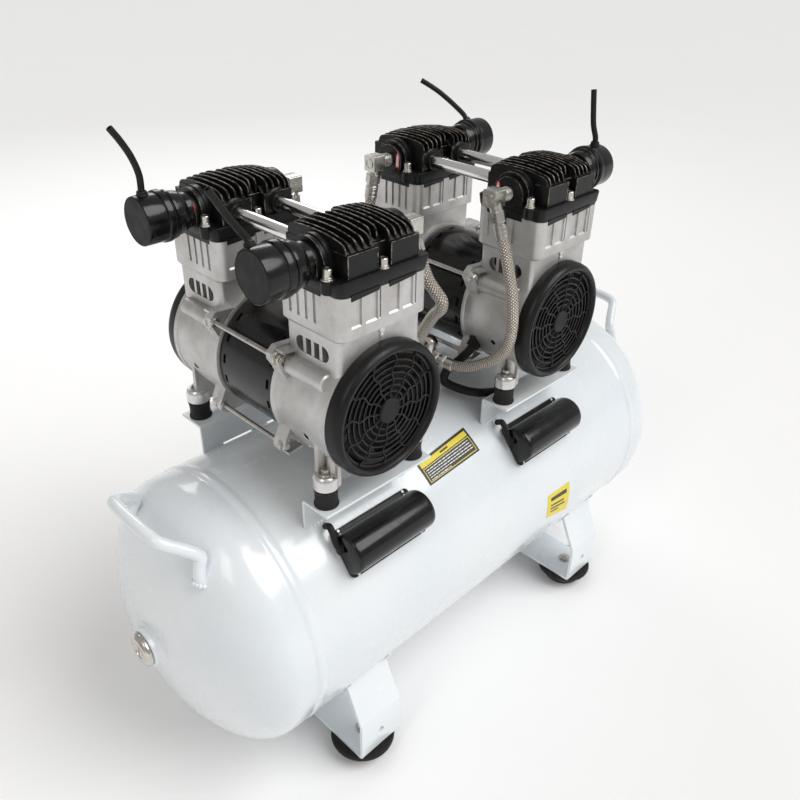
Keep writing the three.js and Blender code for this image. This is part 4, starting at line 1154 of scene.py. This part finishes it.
def build_unit(end_name, parts, turn_intake):
    x = UNIT_X[end_name]
    for side_name, side, turn in (("front", -1, 0.0), ("rear", 1, math.pi)):
        shaft = spot(x, 0, SHAFT_Z, turn)
        piece(f"{end_name}_casting_{side_name}", parts["crankcase"], shaft,
              replaces=[f"{end_name}_crankcase_{side_name}"], bevel=0.55, angle=35)
        piece(f"{end_name}_cylinder_head_{side_name}", parts["head"],
              spot(x, side * HEAD_Y, SHAFT_Z, turn), replaces=[f"{end_name}_head_{side_name}"], bevel=0.4,
              angle=35)
        piece(f"{end_name}_fan_guard_{side_name}", parts["cover"], shaft,
              replaces=[f"{end_name}_fan_cover_{side_name}"], bevel=0.3, angle=35)
        piece(f"{end_name}_fan_{side_name}", parts["fan"], shaft, body=f"{end_name}_rotor",
              bevel=0.3)
        node = f"{end_name}_filter_{side_name}"
        piece(f"{end_name}_silencer_{side_name}", build_filter(NIPPLE_TURN[node]),
              spot(x, side * HEAD_Y, PORT_HEIGHT, turn_intake), replaces=[node], angle=30)
        for hand, mount_x in (("left", -MOUNT_X), ("right", MOUNT_X)):
            piece(f"{end_name}_buffer_{side_name}_{hand}", parts["mount"],
                  spot(x + mount_x, side * MOUNT_Y), replaces=[f"{end_name}_mount_{side_name}_{hand}"])
    piece(f"{end_name}_crankshaft", parts["rotor"], spot(x, 0, SHAFT_Z),
          body=f"{end_name}_rotor",
          replaces=[f"{end_name}_rotor"], bevel=0.3)
    piece(f"{end_name}_motor_sleeve", parts["shell"], spot(x, 0, SHAFT_Z),
          replaces=[f"{end_name}_stator"], bevel=0.3)
    piece(f"{end_name}_tie_rods", parts["rods"], spot(x, 0, SHAFT_Z))
    for hand, cross_x in (("left", -CROSS_X), ("right", CROSS_X)):
        piece(f"{end_name}_pipe_{hand}", parts["crossover"], spot(x + cross_x, 0, PORT_HEIGHT),
              replaces=[f"{end_name}_crossover_{hand}"])
    box_place = spot(x) @ Matrix.Rotation(BOX_TILT, 4, "X")
    piece(f"{end_name}_run_box", parts["box"], box_place,
          replaces=[f"{end_name}_capacitor_box"], bevel=0.5)


def build_units():
    parts = {"crankcase": build_crankcase(), "head": build_head(), "cover": build_fan_cover(),
             "fan": build_fan(),
             "rotor": build_rotor(), "shell": build_shell(), "rods": build_tie_rods(),
             "crossover": build_crossover(), "mount": build_mount(),
             "box": build_capacitor_box()}
    build_unit("near", parts, 0.0)
    build_unit("far", parts, math.pi)
    for end_name, unit_x in UNIT_X.items():
        for side_name, side in (("front", -1), ("rear", 1)):
            lean = 12 if (end_name, side_name) == ("near", "rear") else 2
            build_arrow(f"flow_arrow_{end_name}_{side_name}", unit_x - 54.15, side * (HEAD_Y - 13.4), lean)


# ---- hoses and snorkels ---------------------------------------------------------------------
ELBOW_X = {"near": 69.0, "far": 76.5}
NEAR_ELBOW = UNIT_X["near"] + ELBOW_X["near"]
FAR_ELBOW = UNIT_X["far"] - ELBOW_X["far"]
STUB_TIP = 22.3
HOSE_R, SNORKEL_R, SNORKEL_BORE = 6.0, 3.0, 1.9
HOSE_ROUTES = {
    "near_hose_front": [(NEAR_ELBOW, -88, 379), (-102, -91.8, 366), (-100, -95, 357.8), (-96, -100.7, 341),
                        (-91.5, -106.5, 330), (-87, -110.5, 320.5), (-84, -107.5, 311), (-81, -97, 300),
                        (-78, -86, 285), (-72, -71, 264), (-64, -55, 242), (-48, -30, 214),
                        (-30, -12.5, 200.3),
                        (VALVE_X - STUB_TIP, VALVE_Y, 200)],
    "near_hose_rear": [(NEAR_ELBOW, 84.3, 379), (-102.5, 84.3, 358), (-98, 83, 332), (-90, 78, 300),
                       (-83, 68, 268), (-74, 50, 232), (-62, 24, 198), (-46, -4, 181), (-30, -11.5, 178),
                       (VALVE_X - STUB_TIP, VALVE_Y, 178)],
    "far_hose_front": [(FAR_ELBOW, -88.5, 379), (13.1, -95, 362), (12.8, -103, 343), (12.2, -110.3, 322.8),
                       (11.6, -117, 303.5), (11, -121.5, 283), (10.5, -123, 261.5), (10, -119.4, 239.3),
                       (9.5, -107.8, 222.8), (9, -86, 206), (8.5, -64, 194.5), (8, -46, 190),
                       (VALVE_X, VALVE_Y - STUB_TIP, 190)],
    "far_hose_rear": [(FAR_ELBOW, 85.5, 379), (12, 88, 360), (10, 90.5, 330), (9, 92, 300), (8.5, 92, 268),
                      (8, 84, 232), (8, 66, 204), (8, 42, 192), (8, 24, 190),
                      (VALVE_X, VALVE_Y + STUB_TIP, 190)],
}
SNORKEL_ROUTES = {
    "near_snorkel_front": [(-266.2, -71.05, 412.95), (-266.6, -69.7, 415.4), (-270.6, -68.4, 421),
                           (-279.6, -68, 433.9), (-288.3, -68, 447.6), (-294.5, -68, 457.6)],
    "near_snorkel_rear": [(-266.2, 84.3, 416.3), (-266.1, 84.3, 429.6), (-270.7, 84.3, 445.7),
                          (-278.1, 84.3, 460.1), (-285.7, 84.3, 471.7)],
    "far_snorkel_front": [(183.6, -84.3, 416.7), (183.6, -84, 420), (183.6, -79.4, 432.6),
                          (183.6, -76.3, 450.7),
                          (183.6, -73.9, 468.1)],
    "far_snorkel_rear": [(183.6, 101.33, 410.3), (183.4, 104.2, 413.6), (178, 119.7, 425.9),
                         (170, 133, 437.1),
                         (162, 142.7, 444.8), (155, 151, 450.6)],
}


def build_hose(name, port_x, elbow):
    """Upright elbow on a head's outlet, swivel nut, crimped ferrules and braided hose."""
    route = [Vector(p) for p in HOSE_ROUTES[name]]
    out = (route[1] - route[0]).normalized()
    toward = math.copysign(1.0, port_x - elbow[0])
    beside = lambda distance: (elbow[0] + toward * distance, *elbow[1:])
    shape = Shape()
    shape.prism(rounded(8, 8.5, 1.6, 3), -8, 8, "zinc", axis="x", matrix=Matrix.Translation(elbow))
    shape.lathe([(0, -0.3), (3.6, -0.3), (3.6, 0.2), (4.6, 0.2), (4.6, 0.8), (5.4, 0.8), (5.4, -1), (0, -1)],
                "zinc",
                sides=32,
                matrix=Matrix.Translation(beside(-8)) @ Matrix.Rotation(-toward * math.pi / 2, 4, "Y"))
    shape.rod(beside(7.8), (port_x + toward * 7, *elbow[1:]), 6.7, "zinc", sides=32)
    shape.rod(beside(7.6), beside(9.2), 7.5, "zinc", sides=32, chamfer=0.5)
    start = 10.0
    while elbow[0] * toward + start < (port_x + toward * 4) * toward:
        shape.rod(beside(start), beside(start + 1.0), 7.1, "zinc", sides=32, chamfer=0.35)
        start += 1.9
    at = lambda distance: tuple(route[0] + out * distance)
    shape.rod(at(-8), at(1.5), 6.6, "zinc", sides=32)
    shape.rod(at(1.0), at(12.5), 8.1, "zinc", sides=6, chamfer=0.9)
    shape.rod(at(12), at(14.5), 6.2, "steel", sides=32)
    shape.rod(at(14), at(30), 6.9, "steel", sides=32, chamfer=0.8)
    for k in range(3):
        shape.rod(at(16.5 + 4.4 * k), at(18.0 + 4.4 * k), 7.15, "steel", sides=32, chamfer=0.35)
    shape.tube(spline(route, 8), HOSE_R, "braid", sides=28)
    inward = (route[-2] - route[-1]).normalized()
    tail = lambda distance: tuple(route[-1] + inward * distance)
    shape.rod(tail(0), tail(5), 8.0, "zinc", sides=6, chamfer=0.7)
    shape.rod(tail(4.5), tail(17), 6.9, "steel", sides=32, chamfer=0.8)
    return shape


def build_hoses():
    for end_name, elbow_x, port_x in (("near", NEAR_ELBOW, UNIT_X["near"] + 60),
                                      ("far", FAR_ELBOW, UNIT_X["far"] - 60)):
        for side_name, side in (("front", -1), ("rear", 1)):
            node = f"{end_name}_hose_{side_name}"
            piece(f"{end_name}_air_line_{side_name}",
                  build_hose(node, port_x, (elbow_x, side * HEAD_Y, PORT_HEIGHT)),
                  replaces=[node], bevel=0.25)


def build_snorkels():
    """Free ends of the four intake tubes, each along the route that it has in the frame."""
    for node, points in SNORKEL_ROUTES.items():
        route = spline(points, 6)
        shape = Shape().tube(route, SNORKEL_R, "rubber", sides=24, hollow=SNORKEL_BORE)
        tube = piece(node.replace("snorkel", "intake_tube"), shape, replaces=[node], angle=60)


# ---- air fittings ---------------------------------------------------------------------------
def build_check_valve():
    base = TANK_R + 6.3
    valve = Shape().rod((0, 0, base), (0, 0, base + 10), 13, "nickel", sides=6, chamfer=1.2)
    valve.lathe([(0, base + 9), (9.6, base + 9), (10, base + 11), (10, 204), (9.6, 207), (8.4, 210),
                 (6.2, 212.4),
                 (3.2, 213.8), (0, 214)], "nickel", sides=48)
    for dx, dy, z in ((0, -1, 190), (0, 1, 190), (-1, 0, 200), (-1, 0, 178)):
        valve.rod((0, 0, z), (22 * dx, 22 * dy, z), 5, "nickel", sides=28)
        valve.rod((9 * dx, 9 * dy, z), (16 * dx, 16 * dy, z), 7.4, "nickel", sides=6, chamfer=0.7)
    piece("check_valve_body", valve, spot(VALVE_X, VALVE_Y), replaces=["check_valve"],
          bevel=0.2)


def build_switch():
    block = Shape().block(-17, 17, -17, 17, 160, 186, "brass")
    block.rod((0, 0, 144), (0, 0, 161), 7, "brass", sides=28)
    block.rod((0, 0, 152), (0, 0, 160.4), 11, "brass", sides=6, chamfer=0.8)
    block.rod((0, 0, 185), (0, 0, 192), 9, "brass", sides=28)
    piece("switch_manifold", block, spot(SWITCH_X), bevel=1.0)
    levels = ((190.9, 0.97), (192.5, 1.0), (199, 1.0), (199.6, 0.975), (201, 0.975), (201.6, 1.0),
              (235, 0.975),
              (239.5, 0.94), (241, 0.88))
    outline = rounded(31, 27, 6, 6)
    shell = Shape().loft([([(x * size, y * size) for x, y in outline], z) for z, size in levels], "satin")
    shell.carve(Shape().rod((0, 0, 221), (0, 0, 250), 5.2, "satin", sides=32))
    for side in (-1, 1):
        shell.rod((side * 29.8, 0, 212), (side * 34.5, 0, 212), 7.5, "matt", sides=6, chamfer=0.8)
        shell.rod((side * 20, -20, 238.6), (side * 20, -20, 240.6), 3.4, "zinc", sides=20, chamfer=0.5)
    piece("switch_housing", shell, spot(SWITCH_X), replaces=["pressure_switch"], bevel=0.4)
    knob = Shape().lathe([(0, 227), (4, 227), (4, 242.2), (10.6, 242.2), (11.6, 243.4), (12, 251),
                          (10.8, 254), (7.4, 255.1),
                          (0, 255.4)], "red", sides=48)
    for i in range(18):
        angle = i * math.pi / 9
        knob.rod((11.5 * math.cos(angle), 11.5 * math.sin(angle), 243.8),
                 (11.7 * math.cos(angle), 11.7 * math.sin(angle), 251.2), 0.9, "red", sides=10)
    piece("switch_pull", knob, spot(SWITCH_X), body="switch_knob", replaces=["switch_knob"])


def build_gauge():
    face = 17.3
    gauge = Shape().rod((face - 7, 0, 0), (face + 15, 0, 0), 5, "brass", sides=28)
    gauge.rod((face + 2, 0, 0), (face + 10, 0, 0), 8, "brass", sides=6, chamfer=0.8)
    gauge.lathe([(0, face + 14.5), (17.4, face + 14.5), (18.6, face + 15.6), (18.6, face + 27),
                 (19, face + 27.6),
                 (19, face + 29.4), (18.2, face + 30), (16.6, face + 29.6), (16.4, face + 27.4),
                 (0, face + 27.4)],
                "nickel", axis="x", sides=64)
    gauge.lathe([(0, face + 27.3), (16.3, face + 27.3), (16.3, face + 27.6), (0, face + 27.6)], "ink_white",
                axis="x",
                sides=48)
    for i in range(21):
        angle = math.radians(-45 + 13.5 * i)
        inner = 11.6 if i % 5 == 0 else 13.2
        y, z = math.cos(angle), math.sin(angle)
        gauge.rod((face + 27.75, inner * y, inner * z), (face + 27.75, 15 * y, 15 * z), 0.28, "ink_black",
                  sides=6)
    gauge.rod((face + 28.1, 3 * math.cos(3.8), 3 * math.sin(3.8)), (face + 28.1, -11 * math.cos(3.8),
              -11 * math.sin(3.8)), 0.5, "ink_red", sides=6, end_radius=0.25)
    gauge.rod((face + 27.6, 0, 0), (face + 28.8, 0, 0), 1.8, "ink_black", sides=20, chamfer=0.3)
    piece("gauge_case", gauge, spot(SWITCH_X, 0, 173), replaces=["pressure_gauge"],
          bevel=0.15)
    lens = Shape().lathe([(0, face + 28.9), (16.5, face + 28.9), (16.5, face + 29.5), (0, face + 29.7)],
                         "glass",
                         axis="x", sides=64)
    piece("gauge_lens", lens, spot(SWITCH_X, 0, 173))


def build_valves():
    face = 17.3
    relief = Shape().rod((0, -face + 7, 0), (0, -face - 1, 0), 5, "brass", sides=28)
    relief.rod((0, -face, 0), (0, -face - 9, 0), 8.2, "brass", sides=6, chamfer=0.8)
    relief.rod((0, -face - 8.8, 0), (0, -face - 26, 0), 7, "brass", sides=32, chamfer=0.8)
    for k in range(4):
        relief.rod((0, -face - 11 - 3.4 * k, 0), (0, -face - 12.4 - 3.4 * k, 0), 7.5, "brass", sides=32,
                   chamfer=0.3)
    relief.rod((0, -face - 25.5, 0), (0, -face - 33.8, 0), 3, "steel", sides=20, chamfer=0.4)
    ring = [(4.6 * math.cos(a), -face - 33,
             4.6 * math.sin(a)) for a in [i * math.pi / 10 for i in range(20)]]
    relief.tube(ring, 0.8, "steel", sides=10)
    piece("relief_valve", relief, spot(SWITCH_X, 0, 173), replaces=["safety_valve"], bevel=0.2)

    outlet = Shape().rod((0, face - 7, 0), (0, face + 1, 0), 6, "brass", sides=28)
    outlet.rod((0, face, 0), (0, face + 10, 0), 9.4, "brass", sides=6, chamfer=0.9)
    outlet.lathe([(0, face + 9), (9, face + 9), (12, face + 13), (12, face + 31), (9, face + 34.6),
                  (0, face + 34.6)],
                 "brass", axis="y", sides=48)
    outlet.rod((0, face + 34, 0), (0, face + 41, 0), 9.4, "brass", sides=6, chamfer=0.9)
    outlet.lathe([(2.4, face + 40), (5.6, face + 40), (5.6, face + 43), (4.2, face + 44.6), (5.4, face + 46),
                  (4.0, face + 50),
                  (2.4, face + 50)], "brass", axis="y", sides=32)
    outlet.rod((0, face + 22, 8), (0, face + 22, 17), 6, "brass", sides=32, chamfer=0.5)
    piece("ball_valve", outlet, spot(SWITCH_X, 0, 173), replaces=["outlet_valve"], bevel=0.2)

    lever = Shape().prism(stadium(18, 0, 26, 6), 17.4, 20.2, "red")
    lever.rod((0, 0, 20), (0, 0, 22.4), 4.6, "zinc", sides=6, chamfer=0.5)
    lever.rod((0, 0, 22), (0, 0, 24), 2.4, "zinc", sides=20, chamfer=0.3)
    lever_place = spot(SWITCH_X, face + 22, 173) @ Matrix.Rotation(math.pi / 2, 4, "Z")
    piece("ball_valve_lever", lever, lever_place, body="outlet_lever",
          replaces=["outlet_lever"], bevel=0.6)


def build_drain():
    seat = -TANK_R - 6.3
    drain = Shape().rod((0, 0, seat + 14), (0, 0, seat - 1), 6, "brass", sides=28)
    drain.rod((0, 0, seat), (0, 0, seat - 8), 9, "brass", sides=6, chamfer=0.8)
    drain.rod((0, 0, seat - 7.5), (0, 0, seat - 15), 5, "brass", sides=32, chamfer=0.5)
    wing = [(-16, seat - 12.2), (-13, seat - 9), (13, seat - 9), (16, seat - 12.2), (13.5, seat - 18.6),
            (5, seat - 16.2), (-5, seat - 16.2), (-13.5, seat - 18.6)]
    drain.prism(wing, -1.8, 1.8, "brass", axis="y")
    piece("drain_screw", drain, body="drain_cock", replaces=["drain_cock"], bevel=0.7)


# ---- cables and labels ----------------------------------------------------------------------
def clip_cable(name, points, radius, steps=8, grommets=()):
    cable = Shape().tube(spline(points, steps), radius, "rubber", sides=18)
    for start, end, size in grommets:
        cable.rod(start, end, size, "rubber", sides=28, chamfer=0.8)
        cable.rod(start, tuple(a + (b - a) * 0.4 for a, b in zip(start, end)), size + 1.4, "rubber",
                  sides=28, chamfer=0.6)
    piece(name, cable)


def build_cables():
    far, near = UNIT_X["far"], UNIT_X["near"]
    drum = SHAFT_Z
    clip_cable("far_motor_cable",
               [(far - 54, -58, drum - 31), (far - 62, -58, drum - 38), (far - 70, -50, drum - 52),
                (far - 76, -36, drum - 70),
                (far - 78, -34, drum - 84), (far - 70, -50, drum - 91), (far - 58, -66, 152.5),
                (far - 30, -76, 146),
                (far - 10, -82, 141)], 5.0,
               grommets=[((far - 52, -58, drum - 29), (far - 61, -58, drum - 37), 7.6)])
    clip_cable("near_motor_cable",
               [(near + 54, -58, drum - 31), (near + 62, -58, drum - 38), (near + 69, -50, drum - 52),
                (near + 72, -40, drum - 72), (near + 66, -48, drum - 86), (near + 52, -64, 152),
                (near + 30, -76, 146)],
               4.2, grommets=[((near + 53, -58, drum - 30), (near + 60, -58, drum - 36), 6.6)])
    for end_name, x in UNIT_X.items():
        clip_cable(f"{end_name}_box_lead",
                   [(x - 51, -95, 121.5), (x - 51.5, -99, 124), (x - 52.5, -103.5, 126),
                    (x - 53.5, -109, 122),
                    (x - 54, -113.5, 114), (x - 52.5, -117.5, 108), (x - 46, -119, 107)], 3.4,
                   grommets=[((x - 51.8, -118.4, 107.4), (x - 54.8, -117.4, 108.4), 5.0)])


def on_tank(x, around, lift=0.0):
    """A point on the tank's skin; around is in millimetres down the front from its top line."""
    angle = around / TANK_R
    radius = TANK_R + lift
    return (x, -radius * math.sin(angle), radius * math.cos(angle))


def skin_patch(shape, corners, look, lift, steps=10):
    """A thin printed patch on the tank between four (x, around) corners, in order."""
    a, b, c, d = [Vector((u, v)) for u, v in corners]
    grid = []
    for level in (lift, lift - 0.12):
        for i in range(steps + 1):
            for j in range(steps + 1):
                u, v = i / steps, j / steps
                flat = a * (1 - u) * (1 - v) + b * u * (1 - v) + c * u * v + d * (1 - u) * v
                grid.append(on_tank(flat.x, flat.y, level))
    row = steps + 1
    sheet = row * row
    faces = []
    for i in range(steps):
        for j in range(steps):
            quad = (i * row + j, i * row + j + 1, (i + 1) * row + j + 1, (i + 1) * row + j)
            faces += [quad, tuple(sheet + k for k in quad[::-1])]
    rim = [i * row for i in range(row)] + [steps * row + j for j in range(1, row)]
    rim += [i * row + steps for i in range(steps - 1, -1, -1)] + list(range(steps - 1, 0, -1))
    faces += [(p, q, sheet + q, sheet + p) for p, q in zip(rim, rim[1:] + rim[:1])]
    shape.add(grid, faces, look)


def inner_patch(corners, u0, u1, v0, v1):
    """Part of a four-cornered patch, from u0..u1 along it and v0..v1 down it."""
    a, b, c, d = [Vector(corner) for corner in corners]
    point = lambda u, v: tuple(a * (1 - u) * (1 - v) + b * u * (1 - v) + c * u * v + d * (1 - u) * v)
    return [point(u0, v0), point(u1, v0), point(u1, v1), point(u0, v1)]


def down_front(y, z):
    return TANK_R * math.atan2(-y, z)


def build_labels():
    """Generic instruction label and a small yellow one: bars instead of lettering."""
    main = [(-89.6, down_front(-87.1, 122.1)), (-4.6, down_front(-79.9, 126.9)),
            (-2.9, down_front(-104.9, 107.2)), (-87.8, down_front(-108.1, 104.0))]
    label = Shape()
    skin_patch(label, main, "ink_black", 0.30)
    skin_patch(label, inner_patch(main, 0.035, 0.965, 0.10, 0.30), "ink_yellow", 0.42)
    for v0, v1 in ((0.34, 0.37), (0.90, 0.93)):
        skin_patch(label, inner_patch(main, 0.035, 0.965, v0, v1), "ink_yellow", 0.42)
    for u0, u1 in ((0.035, 0.045), (0.955, 0.965)):
        skin_patch(label, inner_patch(main, u0, u1, 0.34, 0.93), "ink_yellow", 0.42)
    source = random.Random(5)
    for row, v in enumerate((0.44, 0.54, 0.64, 0.74, 0.84)):
        u = 0.07
        stop = 0.93 if row < 4 else 0.45
        while u < stop:
            width = 0.02 + 0.06 * source.random()
            skin_patch(label, inner_patch(main, u, min(u + width, stop), v, v + 0.035), "ink_white", 0.44, 2)
            u += width + 0.012
    skin_patch(label, inner_patch(main, 0.42, 0.58, 0.16, 0.23), "ink_black", 0.54, 3)
    piece("instruction_label", label, angle=60)

    small = [(84.6, down_front(-149.1, 16.8)), (130.4, down_front(-149.2, 15.8)),
             (137.9, down_front(-146.1, -34)), (88.4, down_front(-148.7, -19.8))]
    tag = Shape()
    skin_patch(tag, small, "ink_yellow", 0.30)
    for v0, v1, u1 in ((0.16, 0.30, 0.86), (0.46, 0.52, 0.74), (0.60, 0.66, 0.80), (0.74, 0.79, 0.52)):
        skin_patch(tag, inner_patch(small, 0.14, u1, v0, v1), "ink_black", 0.42, 4)
    piece("small_label", tag, angle=60)


# ---- studio ---------------------------------------------------------------------------------
def add_floor():
    size = 60.0       # half the floor's width, in metres
    mesh = bpy.data.meshes.new("floor")
    mesh.from_pydata([(-size, -size, 0), (size, -size, 0), (size, size, 0), (-size, size, 0)],
                     [], [(0, 1, 2, 3)])
    mesh.materials.append(floor_paint())
    floor = bpy.data.objects.new("floor", mesh)
    bpy.context.collection.objects.link(floor)


def add_light(name, place, target, size, power, color=(1, 1, 1)):
    data = bpy.data.lights.new(name, "AREA")
    data.shape = "RECTANGLE"
    data.size, data.size_y = size
    data.energy = power
    data.color = color
    light = bpy.data.objects.new(name, data)
    bpy.context.collection.objects.link(light)
    aim = (Vector(target) - Vector(place)).to_track_quat("-Z", "Y").to_matrix().to_4x4()
    light.matrix_world = Matrix.Translation(place) @ aim


def add_studio():
    scene = bpy.context.scene
    scene.view_settings.view_transform = "Standard"
    world = bpy.data.worlds.new("studio")
    scene.world = world
    world.use_nodes = True
    background = world.node_tree.nodes["Background"]
    background.inputs["Color"].default_value = (1.0, 0.985, 0.97, 1)
    background.inputs["Strength"].default_value = 0.42
    sky = bpy.data.lights.new("sky", "SUN")
    sky.angle = math.radians(42)
    sky.energy = 2.0
    lamp = bpy.data.objects.new("sky", sky)
    bpy.context.collection.objects.link(lamp)
    lamp.matrix_world = Vector((0.42, -0.75, 1.0)).to_track_quat("Z", "Y").to_matrix().to_4x4()
    add_light("back", (0.9, 2.0, 1.7), (0, 0, 0.4), (1.4, 0.7), 11)
    add_light("left", (-1.9, -0.5, 1.9), (0, 0, 0.4), (0.5, 1.2), 7, (1, 0.95, 0.9))


# ---- the whole compressor -------------------------------------------------------------------
add_camera()
build_snorkels()
build_tank()
build_foot("near", -1)
build_foot("far", 1)
for end_label, end_side in (("near", -1), ("far", 1)):
    build_handle(end_label, end_side)
    for side_label, side_sign in (("front", -1), ("rear", 1)):
        build_pad(end_label, side_label, end_side * PAD_X, side_sign * PAD_Y)
build_end_plug()
build_units()
build_hoses()
build_check_valve()
build_switch()
build_gauge()
build_valves()
build_drain()
build_cables()
build_labels()
add_floor()
add_studio()
